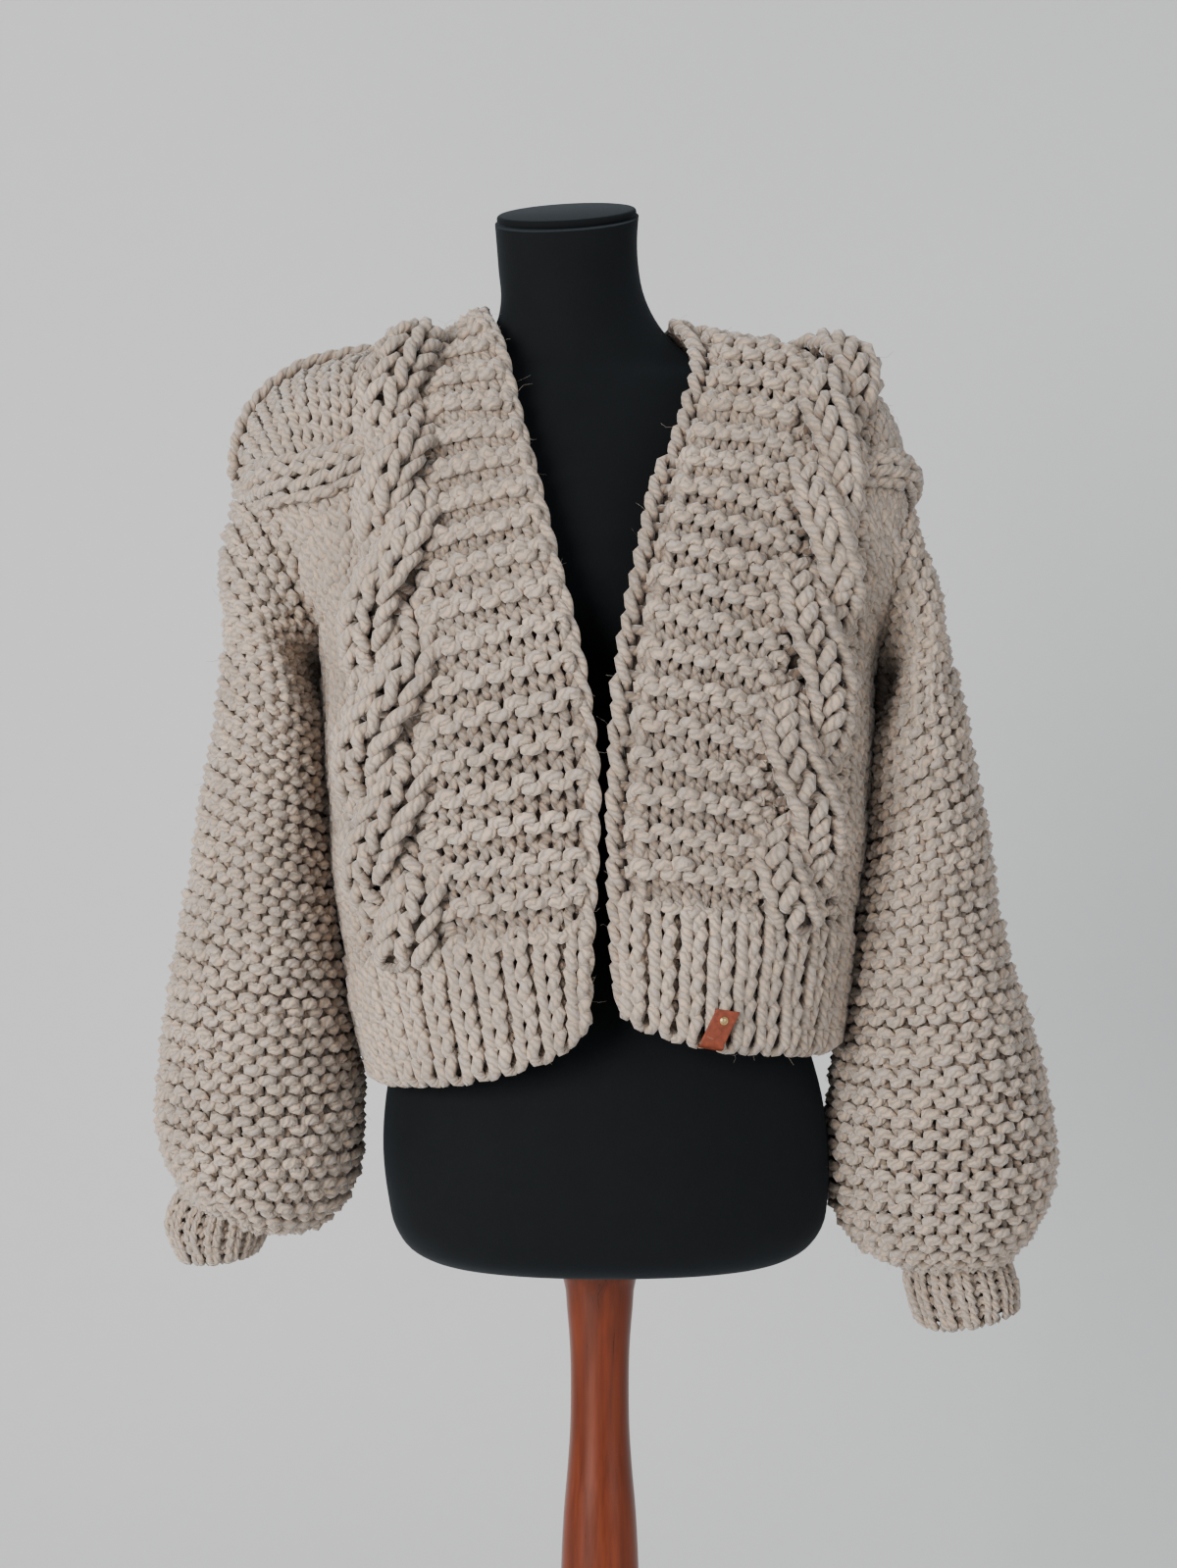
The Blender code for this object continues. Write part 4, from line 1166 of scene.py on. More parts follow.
# ---- settings ---------------------------------------------------------------------------------


def colour_property(name, description, default):
    return FloatVectorProperty(
        name=name,
        description=description,
        subtype="COLOR",
        size=3,
        min=0.0,
        max=1.0,
        default=default,
    )


class CardiganYarn(bpy.types.PropertyGroup):
    """The yarn of the cardigan."""

    colour: colour_property("Colour", "The wool's own colour", (0.378, 0.305, 0.244))
    # the colour of the painted shade shells behind the strands
    painted_shade: colour_property("Ground", "The shade between the strands", (0.14, 0.105, 0.085))
    thickness: FloatProperty(
        name="Thickness",
        description="Strand thickness on the back, where the yarn is plainest",
        unit="LENGTH",
        default=0.0076,
        min=0.003,
        max=0.012,
    )
    sides: IntProperty(name="Sides", description="Facets around a strand", default=6, min=4, max=8)
    hairs: IntProperty(
        name="Hairs",
        description="Loose fibres that stand off the wool",
        default=4000,
        min=0,
        max=12000,
    )


class DressForm(bpy.types.PropertyGroup):
    """The dress form and its stand, with the cardigan's leather tab."""

    jersey: colour_property("Jersey", "Colour of the form's cover", (0.0022, 0.0028, 0.0034))
    wood: colour_property("Wood", "Colour of the stand under its varnish", (0.115, 0.018, 0.003))
    leather: colour_property("Leather", "Colour of the tab", (0.15, 0.028, 0.010))
    brass: colour_property("Brass", "Colour of the rivet", (0.42, 0.30, 0.14))


class Studio(bpy.types.PropertyGroup):
    """The room and its light."""

    wall: colour_property("Wall", "Colour of wall and floor", (0.65, 0.65, 0.645))
    key: FloatProperty(
        name="Key light",
        description="Power of the large light",
        unit="POWER",
        default=155.0,
        min=0.0,
    )
    fill: FloatProperty(
        name="Fill light",
        description="Power of the weaker light",
        unit="POWER",
        default=30.0,
        min=0.0,
    )
    sky: FloatProperty(
        name="Room light",
        description="Strength of the light all round",
        default=0.62,
        min=0.0,
    )


# ---- knit panels ------------------------------------------------------------------------------

PANELS = {}  # the cloths, made once when the first operator asks for them

# Hollows in the drape: the panel, the place across and along it, the hollow's reach in both and
# its depth in metres.
HOLLOWS = (
    ("front_right", 0.17, 0.700, 0.13, 0.040, 0.008),
    ("front_left", 0.79, 0.715, 0.12, 0.042, 0.009),
)


def panel(name):
    if not PANELS:
        PANELS.update(cloths())
        for of, across, along, half_width, half_length, depth in HOLLOWS:
            cloth = PANELS[of]
            u = (np.linspace(0, 1, cloth.points.shape[1]) - across) / half_width
            v = (cloth.row_at - along) / half_length
            hollow = depth * np.exp(-(u[None, :] ** 2) - v[:, None] ** 2)
            cloth.points = cloth.points - cloth.normals * hollow[..., None]
    return PANELS[name]


def wool():
    return wool_material("plied_wool", bpy.context.scene.cardigan_yarn.colour)


# The material of the painted shade shells.
def painted_shade():
    return shade_shell_material("painted_shade_wool", bpy.context.scene.cardigan_yarn.painted_shade)


def add_knit(name, mesh):
    return add_piece(name, mesh.made(name), wool())


def fewer_sides(context):
    """The facets of strands on pieces that are seen least closely."""
    return max(context.scene.cardigan_yarn.sides - 1, 4)


def body_stitch(**changes):
    """The back's plain stitch, with changes for other stitches."""
    usual = Stitch(
        radius=bpy.context.scene.cardigan_yarn.thickness / 2,
        fat=-0.12,
        depth=0.0034,
        reach=0.72,
        lean=0.26,
        skew=0.07,
        ridge=0.0,
        rib=0.0,
        wide=1.0,
        loft=0.0015,
        jitter=1.0,
    )
    return usual._replace(**changes)


# The cable's path: the share along a front, and its middle and half its width as shares of the
# front's width, from its open edge.
CABLE_PATH = {
    "front_right": (
        (0.00, 0.50, 0.150),
        (0.19, 0.56, 0.155),
        (0.32, 0.54, 0.150),
        (0.42, 0.49, 0.145),
        (0.55, 0.47, 0.140),
        (0.74, 0.43, 0.130),
        (0.89, 0.29, 0.105),
        (1.00, 0.20, 0.095),
    ),
    "front_left": (
        (0.00, 0.49, 0.140),
        (0.45, 0.50, 0.140),
        (0.62, 0.53, 0.135),
        (0.75, 0.51, 0.130),
        (0.90, 0.47, 0.125),
        (1.00, 0.46, 0.120),
    ),
}
EDGE_SHARE = {"front_right": 0.012, "front_left": 0.028}  # where the band starts
SIDE_SHARE = 0.995  # where the side ends
FRONT_ROWS = 39
BAND_COLUMNS = 6
BAND_NARROWS = 30  # the row from which the band has two columns less
SIDE_COLUMNS = 4
SHOULDER_FROM = 29  # the row from which the side is knit closer, up to the shoulder
SHOULDER_COLUMNS = 6
BAND_UNDER = 0.055  # how far the band and the side go on under the cable, as shares across,
SIDE_UNDER = 0.0275  # each with a purl column

CABLE_ROWS = 36
CABLE_COLUMNS = 2  # in each of the cable's two strands
CABLE_SWING = 0.47  # how far a strand goes to each side, in half widths of the cable
CABLE_STRAND = 0.53  # half a strand's width, in the same
CABLE_SWELL = 0.05  # and how much wider it is on top and narrower below
CABLE_LOFT = 0.0020  # a strand's mean height, and how far it rises and sinks as they cross
CABLE_RISE = 0.0125
CABLE_CROWN = 0.0100
CABLE_TILT = 5.0  # rows that a strand's outer border is ahead, for each half width it drifts in a row
CABLE_TILT_MOST = 1.5
# Where the cable sinks at its ends: the share along, the share that it takes, and the depth.
CABLE_TOP = (0.90, 0.10, 0.011)
CABLE_FOOT = (0.06, 0.06, 0.009)

# Heights at which the cables' upper strand comes out from below the other, from the top down.
CABLE_TURNS = {
    "front_right": (1.480, 1.3875, 1.3266, 1.228, 1.152, 1.071, 0.99),
    "front_left": (1.500, 1.4200, 1.3520, 1.275, 1.179, 1.090, 1.00),
}

# Loose folds that cross from the cable to the armhole below the shoulder: the path as shares
# across and along the front, and the width.
SHOULDER_FOLDS = {
    "front_right": (
        ((-0.02, 0.90), (0.09, 0.820), (0.20, 0.766), (0.32, 0.738), (0.47, 0.730)),
        0.033,
    ),
    "front_left": (
        ((0.60, 0.735), (0.66, 0.750), (0.74, 0.785), (0.83, 0.835), (0.96, 0.925)),
        0.025,
    ),
}
FOLD_ROW = 0.0125  # the height of a row of stitches on a fold
FOLD_COLUMNS = 2
FOLD_LIFT = 0.007
FOLD_CROWN = 0.005

BACK_COLUMNS = 38
HEM_ROWS = 6
HEM_COLUMNS = {"hem_rib_front_right": 25, "hem_rib_front_left": 25, "hem_rib_back": 49}
SLEEVE_ROWS = 74
SLEEVE_STITCHES = 28
CUFF_ROWS = 6


def from_edge(name, share):
    """Shares from a front's open edge as shares across its cloth."""
    return share if name.endswith("left") else 1.0 - share


def ordered(a, b):
    return np.minimum(a, b), np.maximum(a, b)


def flanked(kinds, after):
    """Adds a purl column to a chart, after its last column or before its first."""
    purl = np.full((len(kinds), 1), PURL, float)
    return np.hstack([kinds, purl] if after else [purl, kinds])


def front_strips(name, mesh, yarn):
    """Knits a front's band, side, cable and shoulder fold into a mesh."""
    cloth = panel(name)
    mirrored = name.endswith("right")
    rows = FRONT_ROWS
    way = 1.0 if mirrored else -1.0
    levels, middles, halves = np.array(CABLE_PATH[name]).T

    def cable_middle(along):
        return from_edge(name, np.interp(along, levels, middles))

    def cable_half(along):
        return np.interp(along, levels, halves)

    def strip(inner, outer):
        """The span between two shares from the open edge, given as functions of the share along."""

        def span(along):
            return ordered(from_edge(name, inner(along)), from_edge(name, outer(along)))

        return span

    def past_cable(side, overlap):
        """The share from the open edge just under the cable's near (-1) or far (1) border."""
        return lambda along: np.interp(along, levels, middles + side * (halves - overlap))

    def knit_up(chart, after, span, *parts):
        """Knits a strip in parts, each with its last row, its columns, its stitch and a seed."""
        first = 0
        for last, columns, stitch, seed in parts:
            kinds = flanked(chart(last - first, columns), after)
            part = (first / rows, last / rows)
            mesh.add(*strands(cloth, kinds, stitch, seed, part=part, span=span), yarn.sides, seed + 1)
            first = last

    band = body_stitch(
        radius=0.0044, fat=-0.20, ridge=0.0036, depth=0.0040, reach=0.80, lean=0.24, jitter=1.3
    )
    knit_up(
        lambda height, columns: garter(height, columns, PURL),
        not mirrored,
        strip(lambda along: EDGE_SHARE[name], past_cable(-1, BAND_UNDER)),
        (BAND_NARROWS, BAND_COLUMNS, band, 11),
        (rows, BAND_COLUMNS - 2, band, 14),
    )
    side = body_stitch(radius=0.0041, fat=0.32, lean=0.24, depth=0.0046, reach=0.80, jitter=1.5)
    shoulder = body_stitch(radius=0.0034, fat=0.24, lean=0.21, depth=0.0040, reach=0.82, jitter=1.3)
    knit_up(
        stockinette,
        mirrored,
        strip(past_cable(1, SIDE_UNDER), lambda along: SIDE_SHARE),
        (SHOULDER_FROM, SIDE_COLUMNS, side, 21),
        (rows, SHOULDER_COLUMNS, shoulder, 24),
    )

    turns = np.array(CABLE_TURNS[name])
    turn_at = cloth.along_at_height(cable_middle(0.5), turns)
    # Past the cloth's ends the turns go on at their usual spacing.
    turn_at[0] = turn_at[1] + (turns[0] - turns[1]) / cloth.length
    turn_at[-1] = turn_at[-2] - (turns[-2] - turns[-1]) / cloth.length
    cable = body_stitch(radius=0.0036, fat=0.40, lean=0.26, depth=0.0042, reach=0.80, jitter=1.3)
    for strand in (0, 1):

        def phase(along, strand=strand):
            crossing = np.interp(-along, -turn_at, np.arange(len(turn_at)))
            return math.pi * (-crossing + strand)

        def centre(along):
            return cable_middle(along) - way * cable_half(along) * CABLE_SWING * np.cos(phase(along))

        def span(along):
            width = cable_half(along) * (CABLE_STRAND + CABLE_SWELL * np.sin(phase(along)))
            return centre(along) - width, centre(along) + width

        def lift(along):
            start, over, depth = CABLE_TOP
            ends = depth * np.clip((along - start) / over, 0, 1)
            start, over, depth = CABLE_FOOT
            ends = ends + depth * np.clip((start - along) / over, 0, 1)
            return CABLE_LOFT + CABLE_RISE * np.sin(phase(along)) - ends

        def tilt(along):
            step = 1.0 / rows
            drift = (centre(along + step) - centre(along - step)) / 2
            ahead = drift / cable_half(along) * CABLE_TILT
            return -np.clip(ahead, -CABLE_TILT_MOST, CABLE_TILT_MOST) * step

        knit = strands(
            cloth,
            stockinette(CABLE_ROWS, CABLE_COLUMNS),
            cable,
            31 + strand,
            FINE_STEPS,
            span=span,
            lift=lift,
            crown=CABLE_CROWN,
            tilt=tilt,
        )
        mesh.add(*knit, yarn.sides, 33 + strand)

    path, width = SHOULDER_FOLDS[name]
    fold = ribbon(cloth, path, width)
    knit = strands(
        fold,
        stockinette(int(fold.length / FOLD_ROW), FOLD_COLUMNS),
        body_stitch(radius=0.0035, fat=0.36, lean=0.25, depth=0.0040, reach=0.80),
        37,
        lift=lambda along: FOLD_LIFT * np.sin(np.clip(along, 0, 1) * math.pi) ** 0.5,
        crown=FOLD_CROWN,
    )
    mesh.add(*knit, yarn.sides, 38)


class CARDIGAN_OT_fronts(bpy.types.Operator):
    """Knits both fronts: a garter band, a rope cable and plain knit to the side."""

    bl_idname = "cardigan.fronts"
    bl_label = "Fronts"

    def execute(self, context):
        for name in ("front_right", "front_left"):
            shell = painted_shade_shell(name, *FRONT_SHADE_SHELL, "wool")
            mesh = YarnMesh()
            front_strips(name, mesh, context.scene.cardigan_yarn)
            knit = add_knit("knit_" + name, mesh)
        return {"FINISHED"}


class CARDIGAN_OT_back(bpy.types.Operator):
    """Knits the plain back."""

    bl_idname = "cardigan.back"
    bl_label = "Back"

    def execute(self, context):
        shell = painted_shade_shell("back", *BACK_SHADE_SHELL, "wool")
        mesh = YarnMesh()
        chart = stockinette(FRONT_ROWS, BACK_COLUMNS)
        knit = strands(panel("back"), chart, body_stitch(), 41, COARSE_STEPS)
        mesh.add(*knit, fewer_sides(context), 42)
        knit = add_knit("knit_back", mesh)
        return {"FINISHED"}


class CARDIGAN_OT_hem(bpy.types.Operator):
    """Knits the ribs along the hem."""

    bl_idname = "cardigan.hem"
    bl_label = "Hem ribs"

    def execute(self, context):
        stitch = body_stitch(
            radius=0.0038, fat=0.28, rib=0.0038, depth=0.0030, lean=0.20, reach=0.78, wide=1.66
        )
        for name, columns in HEM_COLUMNS.items():
            shell = painted_shade_shell(name, columns, RIB_SHADE_SHELL_ROWS, "wool_rib")
            mesh = YarnMesh()
            knit = strands(panel(name), one_by_one(HEM_ROWS, columns), stitch, 51)
            mesh.add(*knit, context.scene.cardigan_yarn.sides, 52)
            knit = add_knit("knit_" + name, mesh)
        return {"FINISHED"}


class CARDIGAN_OT_sleeves(bpy.types.Operator):
    """Knits both sleeves in garter rows, each as an upper and a lower half, and the cuffs."""

    bl_idname = "cardigan.sleeves"
    bl_label = "Sleeves and cuffs"

    def execute(self, context):
        sides = fewer_sides(context)
        stitch = body_stitch(
            radius=0.0041, fat=-0.14, ridge=0.0027, depth=0.0036, reach=0.96, lean=0.17, jitter=1.4
        )
        rib = body_stitch(rib=0.0024, depth=0.0020, lean=0.15, radius=0.0031, reach=0.70, wide=1.4)
        for side in ("right", "left"):
            name = "sleeve_" + side
            shell = painted_shade_shell(name, *SLEEVE_SHADE_SHELL, "wool")
            chart = garter(SLEEVE_ROWS, SLEEVE_STITCHES)
            knit = strands(panel(name), chart, stitch, 61, ring=True)
            half = SLEEVE_ROWS // 2
            for part, rows in (("upper", slice(0, half)), ("lower", slice(half, None))):
                mesh = YarnMesh()
                mesh.add(*(values[rows] for values in knit), sides, 62)
                add_knit(f"knit_{name}_{part}", mesh)

            name = "cuff_" + side
            shell = painted_shade_shell(name, CUFF_SHADE_SHELL_COLUMNS, RIB_SHADE_SHELL_ROWS, "wool_rib")
            mesh = YarnMesh()
            chart = one_by_one(CUFF_ROWS, SLEEVE_STITCHES)
            knit = strands(panel(name), chart, rib, 71, ring=True)
            mesh.add(*knit, sides, 72)
            knit = add_knit("knit_" + name, mesh)
        return {"FINISHED"}


EDGE_COUNT = 40  # points of each panel's border along a front edge
EDGE_INWARD = 0.02  # the share across at which a panel is read to find the way out of it
EDGE_ROPE = Rope(0.0036, 0.0026, 0.046)
EDGE_ROPE_IN = 0.001  # how far the rope lies in from the right front's border, and out from it
EDGE_ROPE_PROUD = 0.001

CHAIN_LINKS = 37
CHAIN_WIDTH = 0.0180
CHAIN_BEND = 0.75  # half turns from one border of the chain to the other
CHAIN_IN = 0.0065
CHAIN_PROUD = 0.002

SHOULDER_COUNT = 60
SHOULDER_FULL = 0.4  # up to this share across, the seam stands at its full height,
SHOULDER_FADE = 0.5  # over this much of the way towards +X it gets lower,
SHOULDER_LEAST = 0.35  # down to this share of the height
SHOULDER_SEAMS = {
    "front_right": (Rope(0.0038, 0.0030, 0.026), 0.009),
    "front_left": (Rope(0.0030, 0.0030, 0.026), 0.003),
}
NECK_ROPE = Rope(0.0040, 0.0030, 0.026)

ARMHOLE_COUNT = 90
ARMHOLE_ROPE = Rope(0.0036, 0.0028, 0.026)
ARMHOLE_PROUD = 0.002

UNDERARM = 0.52  # the share along a front at which the armhole starts
UNDERARM_BELOW = 0.16  # where the seam that fills the corner under the arm starts and ends
UNDERARM_ABOVE = 0.02
UNDERARM_COUNT = 20
UNDERARM_ROPE = Rope(0.0055, 0.0036, 0.034)
UNDERARM_PROUD = 0.013


def edge_line(cloth, column, inward, count):
    """Points and normals along a panel's border, with the way out of the panel."""
    along = np.linspace(0, 1, count)
    across = np.full_like(along, column)
    line, normals = cloth.at(across, along)
    inside, _ = cloth.at(across + inward, along)
    return line, normals, unit(line - inside)


def front_edge(side, column, inward):
    """The open edge of one front, from its hem rib up to the neck."""
    cloths_in_turn = (panel("hem_rib_front_" + side), panel("front_" + side))
    parts = [edge_line(cloth, column, inward, EDGE_COUNT) for cloth in cloths_in_turn]
    return [np.concatenate(values) for values in zip(*parts)]


def add_chain(mesh, line, normals, outward, sides, seed):
    """A column of long knit stitches that wraps an edge."""
    cloth = edging(line, normals, outward, CHAIN_WIDTH, CHAIN_BEND)
    stitch = body_stitch(
        radius=0.0038, fat=0.05, depth=0.0032, reach=0.90, lean=0.16, loft=0.001, jitter=0.9
    )
    knit = strands(cloth, stockinette(CHAIN_LINKS, 1), stitch, seed, FINE_STEPS)
    mesh.add(*knit, sides, seed + 1)


class CARDIGAN_OT_edges(bpy.types.Operator):
    """Adds a rope along the right front edge, a chain along the left, and ropes on the seams."""

    bl_idname = "cardigan.edges"
    bl_label = "Edges and seams"

    def execute(self, context):
        sides = context.scene.cardigan_yarn.sides
        mesh = YarnMesh()
        line, normals, outward = front_edge("right", 1.0, -EDGE_INWARD)
        line = line - outward * EDGE_ROPE_IN + normals * EDGE_ROPE_PROUD
        add_rope(mesh, line, normals, EDGE_ROPE, sides, 81)
        line, normals, outward = front_edge("left", 0.0, EDGE_INWARD)
        line = line - outward * CHAIN_IN + normals * CHAIN_PROUD
        add_chain(mesh, line, normals, outward, sides, 82)

        across = np.linspace(0, 1, SHOULDER_COUNT)
        for name, (rope, proud) in SHOULDER_SEAMS.items():
            line, normals = panel(name).at(across, np.ones_like(across))
            low = (SHOULDER_FULL + SHOULDER_FADE - across) / SHOULDER_FADE
            proud = proud * np.clip(low, SHOULDER_LEAST, 1)[:, None]
            add_rope(mesh, line + normals * proud, normals, rope, sides, 83)
        back = panel("back")
        neck = back.column_at[FRONT_COLUMNS], back.column_at[-1 - FRONT_COLUMNS]
        across = np.linspace(*neck, SHOULDER_COUNT)
        line, normals = back.at(across, np.ones_like(across))
        add_rope(mesh, line, normals, NECK_ROPE, sides, 86)

        for side in ("right", "left"):
            across = np.linspace(0, 1, ARMHOLE_COUNT)
            line, normals = panel("sleeve_" + side).at(across, np.zeros_like(across))
            add_rope(mesh, line + normals * ARMHOLE_PROUD, normals, ARMHOLE_ROPE, sides, 84)
            # The side seam's top, which fills the corner under the arm.
            column = 0.0 if side == "right" else 1.0
            along = np.linspace(UNDERARM - UNDERARM_BELOW, UNDERARM + UNDERARM_ABOVE, UNDERARM_COUNT)
            line, _ = panel("front_" + side).at(np.full_like(along, column), along)
            sideways = np.zeros_like(line) + (2 * column - 1, 0.0, 0.0)
            add_rope(mesh, line + sideways * UNDERARM_PROUD, sideways, UNDERARM_ROPE, sides, 85)
        add_knit("knit_edges", mesh)
        return {"FINISHED"}


# The share of the loose fibres that stands on each piece.
HAIR_SHARES = (
    ("knit_front_right", 0.19),
    ("knit_front_left", 0.19),
    ("knit_edges", 0.10),
    ("knit_back", 0.08),
    ("knit_hem_rib_front_right", 0.04),
    ("knit_hem_rib_front_left", 0.04),
    ("knit_sleeve_right_upper", 0.09),
    ("knit_sleeve_right_lower", 0.09),
    ("knit_sleeve_left_upper", 0.09),
    ("knit_sleeve_left_lower", 0.09),
)


class CARDIGAN_OT_halo(bpy.types.Operator):
    """Lets loose fibres stand off the fronts, their edges and ribs, the back and the sleeves."""

    bl_idname = "cardigan.halo"
    bl_label = "Loose fibres"

    def execute(self, context):
        hairs = context.scene.cardigan_yarn.hairs
        mesh = YarnMesh()
        for seed, (name, share) in enumerate(HAIR_SHARES):
            vertices = bpy.data.objects[name].data.vertices
            read = np.empty((2, len(vertices) * 3), np.float32)
            for values, of in zip(read, ("co", "normal")):
                vertices.foreach_get(of, values)
            roots, normals = read.astype(float)
            add_hairs(mesh, roots, normals, int(hairs * share), seed)
        add_knit("halo", mesh)
        return {"FINISHED"}


# ---- form and stand ---------------------------------------------------------------------------

FORM_SIDES = 96
FORM_STEPS = 4  # rings between two levels of the table
FORM_CREASE = math.radians(42)  # as CREASE, for the form, the stand and the rivet
NECK_TILT_SIDE = 0.06  # the fall of the neck's top towards one side
CAP_THICKNESS = 0.006
CAP_WIDTH = 0.104
CAP_DEPTH = 0.086
CAP_EDGE = CAP_THICKNESS * 0.4
CAP_EDGE_STEPS = 4
CAP_GAP = 0.0003
BASE_RADIUS = 0.180
BASE_HEIGHT = 0.026
BASE_EDGE = 0.008  # the radius of the rounded rim
BASE_EDGE_POINTS = 7
BASE_SLOPE = 0.005  # the fall from the flat middle to the rim
BASE_FLAT = 0.055
BASE_MIDDLE = BASE_FLAT * 0.3
BASE_FOOT = 0.002  # how much narrower the underside is
POLE_STEPS = 3
TURNED_SIDES = 96


def form_section(ring):
    """A level's outline, squarer than an ellipse, with its own depth in front and behind."""
    turn = np.linspace(0.0, 2.0 * math.pi, FORM_SIDES, endpoint=False)
    power = 2.0 / ring.squareness
    across = np.sign(np.cos(turn)) * np.abs(np.cos(turn)) ** power
    deep = np.sign(np.sin(turn)) * np.abs(np.sin(turn)) ** power
    offset = ring.half_width * across
    y = np.where(deep < 0, ring.front, ring.back) * deep
    z = ring.z + ring.dip * y + ring.dip * NECK_TILT_SIDE / FORM[-1].dip * offset
    return np.stack([ring.x + offset, y, z], axis=1)


def lofted(name, rings):
    """A closed solid through rings of points from the bottom up."""
    mesh = bmesh.new()
    made = [[mesh.verts.new(co) for co in ring] for ring in rings]
    count = len(made[0])
    for lower, upper in zip(made[:-1], made[1:]):
        for j in range(count):
            k = (j + 1) % count
            mesh.faces.new([lower[j], lower[k], upper[k], upper[j]])
    mesh.faces.new(made[0][::-1])
    mesh.faces.new(made[-1])
    return made_mesh(name, mesh, FORM_CREASE)


def turned(name, profile, sides):
    """A solid of revolution from (radius, height) pairs, from the top down."""
    return lofted(name, [oval(r, r, z, sides) for r, z in reversed(profile)])


def oval(half_width, half_depth, height, sides):
    angle = np.linspace(0, 2 * math.pi, sides, endpoint=False)
    x, y = half_width * np.cos(angle), half_depth * np.sin(angle)
    return np.stack([x, y, np.full_like(angle, height)], axis=1)


def cap_rings():
    """Rings of the neck's cap about its own middle, with its rims rounded."""
    profile = []
    for bend in np.linspace(0, math.pi / 2, CAP_EDGE_STEPS + 1):
        inset = -CAP_EDGE * (1 - math.sin(bend))
        profile.append((inset, -CAP_THICKNESS / 2 + CAP_EDGE * (1 - math.cos(bend))))
    profile += [(inset, -height) for inset, height in reversed(profile)]
    return [oval(CAP_WIDTH / 2 + a, CAP_DEPTH / 2 + a, height, TURNED_SIDES) for a, height in profile]


class CARDIGAN_OT_form(bpy.types.Operator):
    """Makes the torso in black jersey and the cap that closes its neck."""

    bl_idname = "cardigan.form"
    bl_label = "Dress form"

    def execute(self, context):
        jersey = jersey_material(context.scene.dress_form.jersey)
        sections = smooth_rows([form_section(ring) for ring in FORM], FORM_STEPS)
        add_piece("torso", lofted("torso", sections), jersey, ("form_torso",))

        rim = form_section(FORM[-1])
        quarter = FORM_SIDES // 4
        right_to_left = Vector(rim[0] - rim[2 * quarter])
        front_to_back = Vector(rim[quarter] - rim[3 * quarter])
        normal = right_to_left.cross(front_to_back).normalized()
        side = right_to_left.normalized()
        centre = Vector(rim.mean(axis=0)) + normal * (CAP_THICKNESS / 2 + CAP_GAP)
        axes = Matrix((side, normal.cross(side), normal)).transposed()
        mesh = lofted("cap", cap_rings())
        mesh.transform(Matrix.Translation(centre) @ axes.to_4x4())
        add_piece("cap", mesh, jersey, ("neck_cap",))
        return {"FINISHED"}


LABEL_WIDTH = 0.017
LABEL_FLAP = 0.022
LABEL_THICKNESS = 0.0016
LABEL_BEVEL = 0.0004
LABEL_SHARP = math.radians(60)  # edges that turn more than this are bevelled
LABEL_FROM_EDGE = 0.062  # along the hem from the left front edge
LABEL_LEAN = 0.009  # sideways shift of the flap's top end
LABEL_CLEAR = 0.0130  # out from the cloth's middle, on top of the rib's strands
LABEL_INSIDE = 0.0075  # in from it
LABEL_BELOW = 0.001  # how far its fold starts below the hem
LABEL_ROUND = 0.45  # and how far it goes on down, as a share of its half thickness
LABEL_STEPS = 14
LABEL_COLUMNS = 11
RIVET_FROM_TOP = 0.006
RIVET_SIDES = 32
RIVET_PROFILE = (
    (0.0002, 0.0011),
    (0.0012, 0.00105),
    (0.0019, 0.0008),
    (0.0022, 0.0005),
    (0.0026, 0.0007),
    (0.0029, 0.0005),
    (0.0029, -0.0002),
)


def label_middle(cloth):
    """The folded tab's middle as rows of points, down its front flap and up inside the hem."""
    hem = np.linalg.norm(np.diff(cloth.points[0], axis=0), axis=1).sum()
    heights = np.linspace(LABEL_FLAP, 0.0, LABEL_STEPS)
    middle, half = (LABEL_CLEAR - LABEL_INSIDE) / 2, (LABEL_CLEAR + LABEL_INSIDE) / 2
    stations = [(height, LABEL_CLEAR, 0.0) for height in heights]
    for turn in np.linspace(0.0, math.pi, LABEL_STEPS)[1:-1]:
        below = LABEL_BELOW + half * LABEL_ROUND * math.sin(turn)
        stations.append((0.0, middle + half * math.cos(turn), below))
    stations += [(height, -LABEL_INSIDE, 0.0) for height in heights[::-1]]
    across = np.linspace(-0.5, 0.5, LABEL_COLUMNS) * LABEL_WIDTH
    grid = []
    for height, out, below in stations:
        share = (LABEL_FROM_EDGE + across + LABEL_LEAN * height / LABEL_FLAP) / hem
        along = height / cloth.length
        surface, _ = cloth.at(share, np.full_like(share, along))
        _, normal = cloth.at(np.full_like(share, share.mean()), np.full_like(share, along))
        foot, _ = cloth.at(share, np.zeros_like(share))
        top, _ = cloth.at(share, np.ones_like(share))
        grid.append(surface + normal * out - unit(top - foot) * below)
    return np.array(grid)


